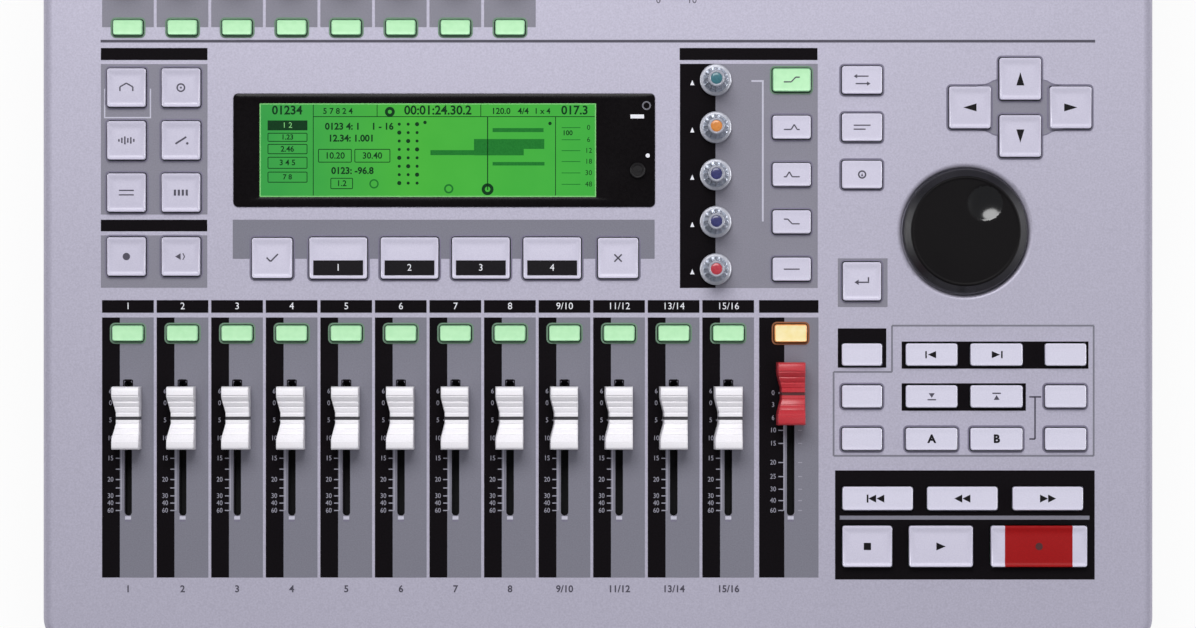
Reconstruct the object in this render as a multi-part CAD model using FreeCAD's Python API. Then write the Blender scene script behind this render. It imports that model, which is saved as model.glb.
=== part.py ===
import FreeCAD, Part
import math
import os

# A desktop digital multitrack recorder, in millimetres.
# +X is to the player's right, +Y to the rear and +Z up. The origin is the middle of the
# footprint, on the surface that the rubber feet stand on.
# Everything on the control panel is drawn in panel coordinates first: u to the right from
# the middle of the case, v from the front edge along the panel, and w out of the panel.

# Case
CASE_WIDTH = 449.0
CASE_DEPTH = 373.0
FRONT_HEIGHT = 62.0
PANEL_TILT = 5.0
WALL = 2.5
FOOT_HEIGHT = 5.0
SEAM_HEIGHT = 26.0
SEAM_GAP = 0.5
FRONT_CORNER = 11.0
REAR_CORNER = 8.0
RIM_RADIUS = 4.0
BASE_RADIUS = 2.0
TONGUE_THICKNESS = 1.3
TONGUE_RISE = 3.0
TONGUE_GAP = 0.2

# Clearances that the fits share
KEY_GAP = 0.4
MOVING_GAP = 0.3
RUNNING_GAP = 0.05
SEAT_GAP = 0.15

# Screws that close the case, and the posts that take them
POST_RADIUS = 4.5
POST_INSET = 10.0
POST_FROM_EDGE = (22.0, 130.0)
SCREW_RADIUS = 1.5
SCREW_HOLE = 1.8
THREAD_HOLE = 1.6
HEAD_RADIUS = 3.4
HEAD_HEIGHT = 2.4
CROSS_REACH = 0.55
CROSS_WIDTH = 1.0
CROSS_DEPTH = 1.2
HEAD_POCKET = 3.8
POCKET_DEPTH = 4.0
SCREW_BITE = 10.0

# Feet and bottom vents
FOOT_RADIUS = 11.0
FOOT_ROUND = 1.0
FOOT_INSET_X = 32.0
FOOT_INSET_Y = 30.0
VENT_COUNT = 12
VENT_WIDTH = 3.0
VENT_LENGTH = 42.0
VENT_PITCH = 8.0
VENT_BANKS = (-120.0, 0.0)

# Printed circuit board under the panel, and the short posts that hold it
BOARD_DEPTH = 8.5
BOARD_THICKNESS = 1.6
BOARD_INSET = 20.5
BOARD_FRONT = 16.0
BOARD_REAR = 296.0
BOARD_POST_RADIUS = 3.0
BOARD_POST_COLUMNS = (-120.0, -40.0, 40.0, 125.0)
BOARD_POST_ROWS = (22.0, 140.0, 240.0, 288.0)
BOARD_POST_INSET = 4.0

# Channel strips
CHANNELS = 12
INPUTS = 8
CHANNEL_PITCH = 22.05
CHANNEL_1_U = -189.9
STEREO_U = 77.85

# Faders
FADER_TRAVEL = 47.0
FADER_TOP_V = 102.0
CHANNEL_FADER_V = 91.9
STEREO_FADER_V = 101.7
SLOT_WIDTH = 3.1
SLOT_END_GAP = 0.75
SLOT_OVERRUN = 3.1
LEVER_WIDTH = 1.2
LEVER_LENGTH = 4.0
LEVER_DEPTH = 7.0
LEVER_BITE = 6.0
CAP_WIDTH = 11.1
CAP_LENGTH = 25.3
CAP_BASE = 1.2
CAP_HEIGHT = 12.0
CAP_VALLEY = 3.2
CAP_SHOULDER = 3.5
CAP_FOOT = 2.0
TRACK_WIDTH = 9.0
TRACK_END = 4.0
TRACK_TOP = 3.2
GROOVE_WIDTH = 2.4

# Knobs: shafts turn in a bushing that stands on the board
SHAFT_RADIUS = 3.0
SHAFT_DEPTH = 7.0
BUSHING_RADIUS = 3.5
BUSHING_HOLE = 3.8
BUSHING_TOP = 0.4
POT_SIZE = 12.0
POT_TOP = 3.0
KNOB_LIFT = 0.8
EQ_KNOB_U = 47.5
EQ_ROWS = 5
EQ_FRONT_V = 151.9
EQ_ROW_PITCH = 19.1
EQ_KNOB_RADIUS = 6.4
EQ_KNOB_HEIGHT = 15.0
GAIN_KNOB_V = 272.8
GAIN_KNOB_RADIUS = 6.4
GAIN_KNOB_HEIGHT = 14.0
MONITOR_U = 31.3
MONITOR_V = 277.0
MONITOR_RADIUS = 7.5
MONITOR_HEIGHT = 12.0
KNOB_SKIRT = 0.8
KNOB_SKIRT_HEIGHT = 2.0

# Display and its contrast knob
WINDOW_U = -62.15
WINDOW_V = 199.95
WINDOW_WIDTH = 170.3
WINDOW_HEIGHT = 45.7
WINDOW_CORNER = 2.0
WINDOW_SINK = 1.2
WINDOW_RISE = 0.8
LCD_U = -68.75
LCD_V = 200.0
LCD_GLASS_WIDTH = 139.0
LCD_GLASS_HEIGHT = 41.0
LCD_FRAME_WIDTH = 156.0
LCD_FRAME_HEIGHT = 44.0
LCD_AIR = 0.05
CONTRAST_U = 16.0
CONTRAST_V = 191.8
CONTRAST_RADIUS = 3.2
CONTRAST_HEIGHT = 1.6
CONTRAST_SHAFT = 1.2
CONTRAST_HOLE = 1.6
CONTRAST_POT = 7.0
CONTRAST_SLOT = 0.8
CONTRAST_SLOT_DEPTH = 0.6

# Jog wheel, in a dish moulded into the panel
JOG_U = 148.3
JOG_V = 167.2
JOG_DISH_DEPTH = 3.0
JOG_DISH_FLOOR = 2.0
JOG_DISH_LIP = 2.0
JOG_RADIUS = 25.2
JOG_SLOPE = 3.4
JOG_GAP = 0.5
JOG_HEIGHT = 5.2
JOG_SHOULDER = 2.5
JOG_LIFT = 0.4
JOG_BUSHING = 4.5
JOG_ENCODER_SIZE = 26.0
DIMPLE_RADIUS = 7.2
DIMPLE_DEPTH = 1.7
DIMPLE_OFFSET = (7.8, 11.2)

# Keys: how far they stand out, travel, and the retaining flange under the panel
KEY_RISE = 2.2
KEY_TRAVEL = 0.6
KEY_CORNER = 1.0
FLANGE_REACH = 1.0
FLANGE_THICKNESS = 1.0
SWITCH_SIZE = 6.0
SWITCH_HEIGHT = 3.5
PLUNGER_RADIUS = 1.7
PLUNGER_GAP = 0.1

# Sizes (across, along) of the keys, and where their rows and columns lie
INPUT_KEY = (12.0, 6.2)
INPUT_KEY_V = 249.5
SELECT_KEY = (12.6, 6.4)
STEREO_KEY = (13.2, 7.2)
SELECT_KEY_V = 126.0
NAVIGATE_KEY = (15.6, 15.6)
NAVIGATE_COLUMNS = (-190.4, -168.4)
NAVIGATE_ROWS = (157.0, 182.8, 203.9, 225.2)
SOFT_KEY = (23.3, 16.7)
SOFT_KEY_1_U = -104.9
SOFT_KEY_PITCH = 28.8
SOFT_KEY_V = 156.4
SIDE_KEY = (16.3, 16.3)
SIDE_KEY_COLUMNS = (-131.6, 8.1)
EQ_KEY = (15.4, 9.4)
EQ_KEY_U = 78.2
EDIT_KEY = (16.2, 11.2)
EDIT_KEY_U = 106.6
EDIT_KEYS = 3
ENTER_KEY = (15.5, 15.5)
ENTER_KEY_V = 147.0
CURSOR_KEY = (16.8, 16.9)
CURSOR_U = 170.5
CURSOR_JOG_SPACE = 4.3
CURSOR_REACH_U = 20.35
CURSOR_REACH_V = 11.55
LOCATE_COLUMNS = (106.6, 134.7, 160.9, 188.8)
LOCATE_WIDTHS = (16.2, 20.8, 21.0, 16.6)
LOCATE_ROWS = (83.3, 100.5, 117.4)
LOCATE_KEY_LENGTH = 9.0
SEARCH_KEY = (28.4, 9.5)
SEARCH_COLUMNS = (112.9, 147.1, 181.6)
SEARCH_KEY_V = 59.3
TRANSPORT_V = 40.0
TRANSPORT_LENGTH = 16.6
TRANSPORT_RISE = 3.0
STOP_KEY = (108.7, 20.0)
PLAY_KEY = (138.4, 25.7)
RECORD_KEY = (178.0, 38.8)

# Rear connector recess and its panel
RECESS_DEPTH = 10.0
RECESS_INSET = 26.0
RECESS_LOW = 13.0
RECESS_HIGH = 75.0
RECESS_WALL = 2.0
REAR_PLATE = 1.5
REAR_PLATE_LAP = 1.5

# Sockets
JACK_RADIUS = 3.2
JACK_DEPTH = 18.0
JACK_BODY = (13.0, 13.0, 20.0)
NOZZLE_RADIUS = 4.5
NOZZLE_RISE = 3.5
NOZZLE_GAP = 0.2
NUT_FLATS = 12.0
NUT_THICKNESS = 2.0
JACK_HEIGHT = 48.0
JACK_PITCH = 24.0
JACKS = 13
JACK_1_X = -186.0
MIDI_X = 124.0
MIDI_HEIGHTS = (30.0, 56.0)
MIDI_RADIUS = 6.6
MIDI_SHELL = 7.6
MIDI_DEPTH = 8.0
MIDI_BODY = (20.0, 20.0, 13.0)
MIDI_RISE = 1.0
COAX_X = 149.0
COAX_HEIGHTS = (32.0, 54.0)
COAX_RADIUS = 4.15
COAX_BORE = 1.6
COAX_RISE = 8.5
COAX_COLLAR = 5.5
COAX_BODY = (12.0, 12.0, 12.0)
INLET_X = 178.0
INLET_HEIGHT = 29.0
INLET_MOUTH = (15.6, 8.4)
INLET_DEPTH = 11.0
INLET_BODY = (22.0, 14.0, 16.0)
INLET_PIN_RADIUS = 1.2
INLET_PIN_SPACING = 8.6
INLET_COLLAR = 1.2
PHONES_X = -190.0
PHONES_HEIGHT = 38.0
FRONT_SINK = 0.8

# Power switch: a rocker in a frame on the rear panel
SWITCH_X = 178.0
SWITCH_Z = 56.0
ROCKER = (13.0, 19.0)
ROCKER_PIVOT_DEPTH = 4.0
ROCKER_ANGLE = 12.0
SWITCH_FRAME = 3.0
SWITCH_FRAME_RISE = 2.5
SWITCH_BODY_DEPTH = 18.0
SWITCH_SKIN = 1.0
SWITCH_FLOOR = 2.0
PIVOT_RADIUS = 1.5
ROCKER_HUB = 2.6
ROCKER_EDGE = 0.4
ROCKER_DIP = 0.8
ROCKER_PRESSED = 0.6
ROCKER_RAISED = 1.0
ROCKER_HEEL = 1.6

# Disc drive in the front of the case
DRIVE_WIDTH = 146.0
DRIVE_HEIGHT = 41.3
DRIVE_DEPTH = 190.0
DRIVE_INSET = 18.5
DRIVE_LIFT = 2.0
BEZEL_LAP = 1.0
BEZEL_THICKNESS = 5.0
BEZEL_SINK = 1.5
BEZEL_GAP = 0.4
TRAY_FACE = (134.0, 14.0)
TRAY_FACE_LIFT = 22.0
TRAY_FACE_THICKNESS = 4.0
TRAY_WIDTH = 130.0
TRAY_THICKNESS = 5.0
TRAY_LENGTH = 165.0
TRAY_HEADROOM = 5.0
DISC_RADIUS = 60.6
DISC_RECESS = 1.6
SMALL_DISC_RADIUS = 40.5
SMALL_DISC_RECESS = 1.0
HUB_RADIUS = 17.0
DRIVE_SKIN = 3.0
EJECT_BUTTON = (12.0, 5.0)
EJECT_OFFSET = 55.0
EJECT_LIFT = 10.0
EJECT_RISE = 1.0
EJECT_TRAVEL = 0.8

# Modules inside
STANDOFF_RADIUS = 3.5
STANDOFF_HEIGHT = 5.0
HARD_DRIVE = (101.6, 147.0, 26.1)
HARD_DRIVE_X = -150.0
HARD_DRIVE_FROM_FRONT = 25.0
DRIVE_CORNER = 3.0
DRIVE_BOARD_INSET = 3.0
DRIVE_PLUG_ROOM = 12.0
COVER_INSET = 4.0
COVER_RISE = 0.8
MAIN_BOARD = (254.0, 138.0)
MAIN_BOARD_X = -72.0
MAIN_BOARD_FROM_REAR = 34.0
SUPPLY_BOARD = (104.0, 130.0)
SUPPLY_X = 143.0
SUPPLY_FROM_REAR = 34.0
RAIL_WIDTH = 8.0
RAIL_INSET = 8.0
RAIL_START = 4.0

# Parts on the boards, measured from the middle of each board
# Chips and connectors: across, along, width, length, height
MAIN_BOARD_PARTS = (
    (-70, 20, 32, 32, 2.4), (-20, 25, 28, 28, 2.4), (30, 30, 24, 24, 2.4), (75, 25, 20, 26, 2.0),
    (-75, -30, 26, 12, 2.6), (-35, -32, 26, 12, 2.6), (10, -30, 12, 26, 2.6), (60, -40, 50, 9, 8.0),
    (-110, 0, 9, 50, 8.0),
)
# Transformer, heat sink and connector: across, along, width, length, height
SUPPLY_PARTS = ((0, -4, 44, 40, 32.0), (33.5, -5, 3, 70, 26.0), (-3, 40, 34, 20, 16.0))
CAPACITOR_PLACES = ((-36, -40), (-36, -12), (-36, 14))
CAPACITOR = (9.0, 26.0)

# Worked out from the sizes above
TILT = math.radians(PANEL_TILT)
HALF_WIDTH = CASE_WIDTH / 2
FRONT_Y = -CASE_DEPTH / 2
REAR_Y = CASE_DEPTH / 2
REAR_HEIGHT = FRONT_HEIGHT + CASE_DEPTH * math.tan(TILT)
FLOOR_TOP = FOOT_HEIGHT + WALL
BOARD_HALF = HALF_WIDTH - BOARD_INSET
KEY_BOTTOM = WALL + MOVING_GAP + FLANGE_THICKNESS
JOG_TOP_RADIUS = JOG_RADIUS - JOG_SLOPE
JOG_DISH_RADIUS = JOG_RADIUS + JOG_GAP
CURSOR_V = JOG_V + JOG_DISH_RADIUS + CURSOR_JOG_SPACE + CURSOR_REACH_V + CURSOR_KEY[1] / 2
RECESS_HALF = HALF_WIDTH - RECESS_INSET
PLATE_FACE_Y = REAR_Y - RECESS_DEPTH
PLATE_BACK_Y = PLATE_FACE_Y - REAR_PLATE
DRIVE_X = HALF_WIDTH - DRIVE_INSET - DRIVE_WIDTH / 2
DRIVE_FLOOR = FLOOR_TOP + DRIVE_LIFT
BEZEL_FRONT_Y = FRONT_Y + BEZEL_SINK
BEZEL_BACK_Y = BEZEL_FRONT_Y + BEZEL_THICKNESS


def box(x0, x1, y0, y1, z0, z1):
    return Part.makeBox(x1 - x0, y1 - y0, z1 - z0, FreeCAD.Vector(x0, y0, z0))


def rod(x, y, z, radius, length, axis=(0, 0, 1)):
    return Part.makeCylinder(radius, length, FreeCAD.Vector(x, y, z), FreeCAD.Vector(*axis))


def rounded_block(x, y, width, length, z0, z1, corner):
    """A block centred on (x, y) whose upright edges are rounded."""
    solid = box(x - width / 2, x + width / 2, y - length / 2, y + length / 2, z0, z1)
    upright = [e for e in solid.Edges if abs(e.tangentAt(e.FirstParameter).z) > 0.9]
    return solid.makeFillet(corner, upright)


def on_panel(shape):
    """Move a shape from panel coordinates (u, v, w) to its place on the tilted panel."""
    placed = shape.copy()
    placed.rotate(FreeCAD.Vector(0, 0, 0), FreeCAD.Vector(1, 0, 0), PANEL_TILT)
    placed.translate(FreeCAD.Vector(0, FRONT_Y, FRONT_HEIGHT))
    return placed


def joined(shapes):
    return shapes[0].fuse(shapes[1:]).removeSplitter()


def channel_u(index):
    return CHANNEL_1_U + CHANNEL_PITCH * index


def eq_v(row):
    return EQ_FRONT_V + EQ_ROW_PITCH * row


def fader_places():
    places = [(channel_u(i), CHANNEL_FADER_V) for i in range(CHANNELS)]
    return places + [(STEREO_U, STEREO_FADER_V)]


def key_banks():
    """Each bank of keys: (u, v, size across, size along, how far it stands out) for every cap."""
    banks = {}

    def bank(name, places, size, rise=KEY_RISE):
        banks[name] = [(u, v, size[0], size[1], rise) for u, v in places]

    bank("input_select_keys", [(channel_u(i), INPUT_KEY_V) for i in range(INPUTS)], INPUT_KEY)
    bank("channel_select_keys", [(channel_u(i), SELECT_KEY_V) for i in range(CHANNELS)], SELECT_KEY)
    banks["channel_select_keys"].append((STEREO_U, SELECT_KEY_V, *STEREO_KEY, KEY_RISE))
    bank("navigate_keys", [(u, v) for u in NAVIGATE_COLUMNS for v in NAVIGATE_ROWS], NAVIGATE_KEY)
    bank("soft_keys", [(SOFT_KEY_1_U + SOFT_KEY_PITCH * i, SOFT_KEY_V) for i in range(4)], SOFT_KEY)
    banks["soft_keys"] += [(u, SOFT_KEY_V, *SIDE_KEY, KEY_RISE) for u in SIDE_KEY_COLUMNS]
    bank("eq_keys", [(EQ_KEY_U, eq_v(row)) for row in range(EQ_ROWS)], EQ_KEY)
    rows = range(EQ_ROWS - EDIT_KEYS, EQ_ROWS)
    bank("edit_keys", [(EDIT_KEY_U, eq_v(row)) for row in rows], EDIT_KEY)
    bank("enter_key", [(EDIT_KEY_U, ENTER_KEY_V)], ENTER_KEY)
    cross = [(-CURSOR_REACH_U, 0), (CURSOR_REACH_U, 0), (0, -CURSOR_REACH_V), (0, CURSOR_REACH_V)]
    bank("cursor_keys", [(CURSOR_U + du, CURSOR_V + dv) for du, dv in cross], CURSOR_KEY)
    banks["locate_keys"] = [
        (u, v, width, LOCATE_KEY_LENGTH, KEY_RISE)
        for u, width in zip(LOCATE_COLUMNS, LOCATE_WIDTHS)
        for v in LOCATE_ROWS
    ]
    bank("search_keys", [(u, SEARCH_KEY_V) for u in SEARCH_COLUMNS], SEARCH_KEY)
    for name, (u, width) in {"stop_key": STOP_KEY, "play_key": PLAY_KEY, "record_key": RECORD_KEY}.items():
        bank(name, [(u, TRANSPORT_V)], (width, TRANSPORT_LENGTH), TRANSPORT_RISE)
    return banks


def knob_places():
    """Every panel knob on a full-size shaft: name to (u, v, radius, height)."""
    knobs = {}
    for row in range(EQ_ROWS):
        place = (EQ_KNOB_U, eq_v(EQ_ROWS - 1 - row))
        knobs[f"eq_knob_{row + 1}"] = (*place, EQ_KNOB_RADIUS, EQ_KNOB_HEIGHT)
    for i in range(INPUTS):
        knobs[f"gain_knob_{i + 1}"] = (channel_u(i), GAIN_KNOB_V, GAIN_KNOB_RADIUS, GAIN_KNOB_HEIGHT)
    knobs["monitor_knob"] = (MONITOR_U, MONITOR_V, MONITOR_RADIUS, MONITOR_HEIGHT)
    return knobs


def outline(inset, low, high):
    """The case's plan outline, drawn in by inset, as an upright block."""
    solid = box(-HALF_WIDTH + inset, HALF_WIDTH - inset, FRONT_Y + inset, REAR_Y - inset, low, high)
    for side, corner in ((-1, FRONT_CORNER), (1, REAR_CORNER)):
        edges = [
            e for e in solid.Edges
            if abs(e.tangentAt(e.FirstParameter).z) > 0.9
            and e.Curve.TypeId == "Part::GeomLine"
            and e.CenterOfMass.y * side > 0
            and e.Length > 1
            and abs(abs(e.CenterOfMass.x) - (HALF_WIDTH - inset)) < 0.01
        ]
        solid = solid.makeFillet(corner - inset, edges)
    return solid


def under_panel(depth):
    """A large block whose top is the plane that lies depth below the panel."""
    reach = 2 * CASE_DEPTH
    return on_panel(box(-CASE_WIDTH, CASE_WIDTH, -reach, reach, -reach, -depth))


def post_places():
    x = HALF_WIDTH - POST_INSET
    rows = [FRONT_Y + d for d in POST_FROM_EDGE] + [REAR_Y - d for d in POST_FROM_EDGE]
    return [(side * x, y) for side in (-1, 1) for y in rows]


def board_post_places():
    outer = BOARD_HALF - BOARD_POST_INSET
    columns = (-outer, *BOARD_POST_COLUMNS, outer)
    return [(u, v) for u in columns for v in BOARD_POST_ROWS]


def slot_ends():
    """Front and rear end of a fader slot, from the lever's travel."""
    half = LEVER_LENGTH / 2
    return FADER_TOP_V - FADER_TRAVEL - half - SLOT_END_GAP, FADER_TOP_V + half + SLOT_OVERRUN


def panel_openings():
    """Everything that is cut through the panel, in panel coordinates."""
    low, high = -WALL - 1, 1
    cuts = []
    for caps in key_banks().values():
        for u, v, width, length, _ in caps:
            across, along = width + 2 * KEY_GAP, length + 2 * KEY_GAP
            cuts.append(rounded_block(u, v, across, along, low, high, KEY_CORNER + KEY_GAP))
    front, rear = slot_ends()
    for u, _ in fader_places():
        middle, length = (front + rear) / 2, rear - front
        cuts.append(rounded_block(u, middle, SLOT_WIDTH, length, low, high, SLOT_WIDTH / 2 - 0.05))
    for u, v, _, _ in knob_places().values():
        cuts.append(rod(u, v, low, BUSHING_HOLE, high - low))
    across, along = WINDOW_WIDTH + 2 * SEAT_GAP, WINDOW_HEIGHT + 2 * SEAT_GAP
    cuts.append(rounded_block(WINDOW_U, WINDOW_V, across, along, -WINDOW_SINK, high, WINDOW_CORNER))
    across, along = LCD_GLASS_WIDTH + 2 * SEAT_GAP, LCD_GLASS_HEIGHT + 2 * SEAT_GAP
    cuts.append(rounded_block(LCD_U, LCD_V, across, along, low, high, 1.0))
    cuts.append(rod(CONTRAST_U, CONTRAST_V, low, CONTRAST_HOLE, high - low))
    return cuts


def rear_recess(reach_out):
    """The space of the rear connector recess, running reach_out past the rear face."""
    return box(-RECESS_HALF, RECESS_HALF, PLATE_FACE_Y, REAR_Y + reach_out, RECESS_LOW, RECESS_HIGH)


def recess_frame():
    """The walls around the rear recess, before the recess and the case's seam are cut."""
    return box(
        -RECESS_HALF - RECESS_WALL, RECESS_HALF + RECESS_WALL,
        PLATE_FACE_Y, REAR_Y - WALL / 2,
        RECESS_LOW - RECESS_WALL, RECESS_HIGH + RECESS_WALL,
    )


def drive_opening():
    half = DRIVE_WIDTH / 2 + BEZEL_LAP + BEZEL_GAP
    low = DRIVE_FLOOR - BEZEL_LAP - BEZEL_GAP
    high = DRIVE_FLOOR + DRIVE_HEIGHT + BEZEL_LAP + BEZEL_GAP
    return box(DRIVE_X - half, DRIVE_X + half, FRONT_Y - 1, FRONT_Y + 2 * WALL + TONGUE_THICKNESS, low, high)


def front_jack_hole():
    return rod(PHONES_X, FRONT_Y - 1, PHONES_HEIGHT, NOZZLE_RADIUS + NOZZLE_GAP, WALL + 2, (0, 1, 0))


def top_case():
    low = SEAM_HEIGHT + SEAM_GAP
    outer = outline(0, low, REAR_HEIGHT + 1).common(under_panel(0))
    panel_normal = FreeCAD.Vector(0, -math.sin(TILT), math.cos(TILT))
    panel = max(outer.Faces, key=lambda f: f.CenterOfMass.dot(panel_normal))
    outer = outer.makeFillet(RIM_RADIUS, panel.Edges)
    inner = outline(WALL, low - 1, REAR_HEIGHT + 1).common(under_panel(WALL))
    frame = recess_frame().common(box(-CASE_WIDTH, CASE_WIDTH, 0, REAR_Y, low, REAR_HEIGHT))
    dish = rod(JOG_U, JOG_V, -JOG_DISH_DEPTH - JOG_DISH_FLOOR, JOG_DISH_RADIUS + WALL, JOG_DISH_DEPTH)
    room = under_panel(WALL / 2)
    posts = [rod(x, y, SEAM_HEIGHT, POST_RADIUS, REAR_HEIGHT).common(room) for x, y in post_places()]
    reach = BOARD_DEPTH - WALL / 2
    posts += [on_panel(rod(u, v, -BOARD_DEPTH, BOARD_POST_RADIUS, reach)) for u, v in board_post_places()]
    shell = joined([outer.cut(inner), frame, on_panel(dish), *posts])
    cuts = [on_panel(cut) for cut in panel_openings()]
    depth = JOG_DISH_DEPTH + JOG_DISH_FLOOR
    cuts.append(on_panel(dish_room()))
    cuts.append(on_panel(rod(JOG_U, JOG_V, -depth - 1, JOG_BUSHING + MOVING_GAP, depth)))
    cuts += [rear_recess(1), drive_opening(), front_jack_hole()]
    cuts += [rod(x, y, SEAM_HEIGHT - 1, THREAD_HOLE, SCREW_BITE + 2) for x, y in post_places()]
    return shell.cut(cuts)


def dish_room():
    """The jog wheel's room in the dish, whose edge rolls over into the panel."""
    def at(reach, level):
        return FreeCAD.Vector(JOG_U + reach, JOG_V, level)
    edge, lip = JOG_DISH_RADIUS, JOG_DISH_LIP
    turn = lip * (1 - math.sqrt(0.5))
    wall = Part.makePolygon([
        at(edge + lip, 0), at(edge + lip, JOG_DISH_FLOOR), at(0, JOG_DISH_FLOOR),
        at(0, -JOG_DISH_DEPTH), at(edge, -JOG_DISH_DEPTH), at(edge, -lip),
    ])
    roll = Part.Arc(at(edge, -lip), at(edge + turn, -turn), at(edge + lip, 0)).toShape()
    profile = Part.Face(Part.Wire([*wall.Edges, roll]))
    return profile.revolve(at(0, 0), FreeCAD.Vector(0, 0, 1), 360)


def standoff_places():
    """Where the inner modules stand on the floor of the case."""
    places = []
    for x, y, width, length in (hard_drive_box(), main_board_box(), supply_box()):
        inset = 2 * STANDOFF_RADIUS
        for side in (-1, 1):
            for end in (-1, 1):
                places.append((x + side * (width / 2 - inset), y + end * (length / 2 - inset)))
    return places


def hard_drive_box():
    """Middle and size of the hard drive's footprint."""
    y = FRONT_Y + HARD_DRIVE_FROM_FRONT + HARD_DRIVE[1] / 2
    return HARD_DRIVE_X, y, HARD_DRIVE[0], HARD_DRIVE[1]


def main_board_box():
    y = REAR_Y - MAIN_BOARD_FROM_REAR - MAIN_BOARD[1] / 2
    return MAIN_BOARD_X, y, MAIN_BOARD[0], MAIN_BOARD[1]


def supply_box():
    y = REAR_Y - SUPPLY_FROM_REAR - SUPPLY_BOARD[1] / 2
    return SUPPLY_X, y, SUPPLY_BOARD[0], SUPPLY_BOARD[1]


def drive_rails():
    """Two rails on the floor that the disc drive stands on."""
    rails = []
    for side in (-1, 1):
        x = DRIVE_X + side * (DRIVE_WIDTH / 2 - RAIL_INSET)
        left, right = x - RAIL_WIDTH / 2, x + RAIL_WIDTH / 2
        front = FRONT_Y + WALL + BEZEL_THICKNESS + RAIL_START
        rails.append(box(left, right, front, FRONT_Y + DRIVE_DEPTH, FLOOR_TOP - 1, DRIVE_FLOOR))
    return rails


def bottom_case():
    outer = outline(0, FOOT_HEIGHT, SEAM_HEIGHT)
    base = min(outer.Faces, key=lambda f: f.CenterOfMass.z)
    outer = outer.makeFillet(BASE_RADIUS, base.Edges)
    inner = outline(WALL, FLOOR_TOP, SEAM_HEIGHT + 1)
    tongue_top = SEAM_HEIGHT + SEAM_GAP + TONGUE_RISE
    inset = WALL + TONGUE_GAP
    tongue = outline(inset, FLOOR_TOP, tongue_top).cut(
        outline(inset + TONGUE_THICKNESS, FLOOR_TOP - 1, tongue_top + 1)
    )
    root = outline(WALL / 2, FLOOR_TOP, SEAM_HEIGHT - 1).cut(
        outline(inset + TONGUE_THICKNESS, FLOOR_TOP - 1, SEAM_HEIGHT)
    )
    frame = recess_frame().common(box(-CASE_WIDTH, CASE_WIDTH, 0, REAR_Y, FOOT_HEIGHT, SEAM_HEIGHT))
    tongue = tongue.cut([recess_frame()])
    reach = SEAM_HEIGHT - FLOOR_TOP + 1
    posts = [rod(x, y, FLOOR_TOP - 1, POST_RADIUS, reach) for x, y in post_places()]
    reach = STANDOFF_HEIGHT + 1
    posts += [rod(x, y, FLOOR_TOP - 1, STANDOFF_RADIUS, reach) for x, y in standoff_places()]
    shell = joined([outer.cut(inner), tongue, root, frame, *posts, *drive_rails()])
    cuts = [rear_recess(1), drive_opening(), front_jack_hole()]
    for x, y in post_places():
        cuts.append(rod(x, y, FOOT_HEIGHT - 1, SCREW_HOLE, SEAM_HEIGHT))
        cuts.append(rod(x, y, FOOT_HEIGHT - 1, HEAD_POCKET, POCKET_DEPTH + 1))
    for middle in VENT_BANKS:
        for i in range(VENT_COUNT):
            x = middle + VENT_PITCH * (i - (VENT_COUNT - 1) / 2)
            corner = VENT_WIDTH / 2 - 0.05
            cuts.append(
                rounded_block(x, 0, VENT_WIDTH, VENT_LENGTH, FOOT_HEIGHT - 1, FLOOR_TOP + 1, corner)
            )
    return shell.cut(cuts)


def case_screws():
    screws = []
    for x, y in post_places():
        seat = FOOT_HEIGHT + POCKET_DEPTH
        head = rod(x, y, seat - HEAD_HEIGHT, HEAD_RADIUS, HEAD_HEIGHT)
        shank = rod(x, y, seat, SCREW_RADIUS, SEAM_HEIGHT + SCREW_BITE - seat)
        low, high = seat - HEAD_HEIGHT - 1, seat - HEAD_HEIGHT + CROSS_DEPTH
        long, thin = HEAD_RADIUS * CROSS_REACH, CROSS_WIDTH / 2
        slots = [
            box(x - long, x + long, y - thin, y + thin, low, high),
            box(x - thin, x + thin, y - long, y + long, low, high),
        ]
        screws.append(joined([head, shank]).cut(slots))
    return screws


def rubber_feet():
    feet = []
    for side in (-1, 1):
        for end in (-1, 1):
            x, y = side * (HALF_WIDTH - FOOT_INSET_X), end * (CASE_DEPTH / 2 - FOOT_INSET_Y)
            foot = rod(x, y, 0, FOOT_RADIUS, FOOT_HEIGHT)
            rim = [e for e in foot.Edges if e.CenterOfMass.z < 0.1 and e.Closed]
            feet.append(foot.makeFillet(FOOT_ROUND, rim))
    return feet


def key_cap(u, v, width, length, rise):
    cap = rounded_block(u, v, width, length, -KEY_BOTTOM, rise, KEY_CORNER)
    reach = KEY_GAP + FLANGE_REACH
    low, high = -KEY_BOTTOM, -KEY_BOTTOM + FLANGE_THICKNESS
    flange = rounded_block(u, v, width + 2 * reach, length + 2 * reach, low, high, KEY_CORNER)
    return on_panel(joined([cap, flange]))


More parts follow.
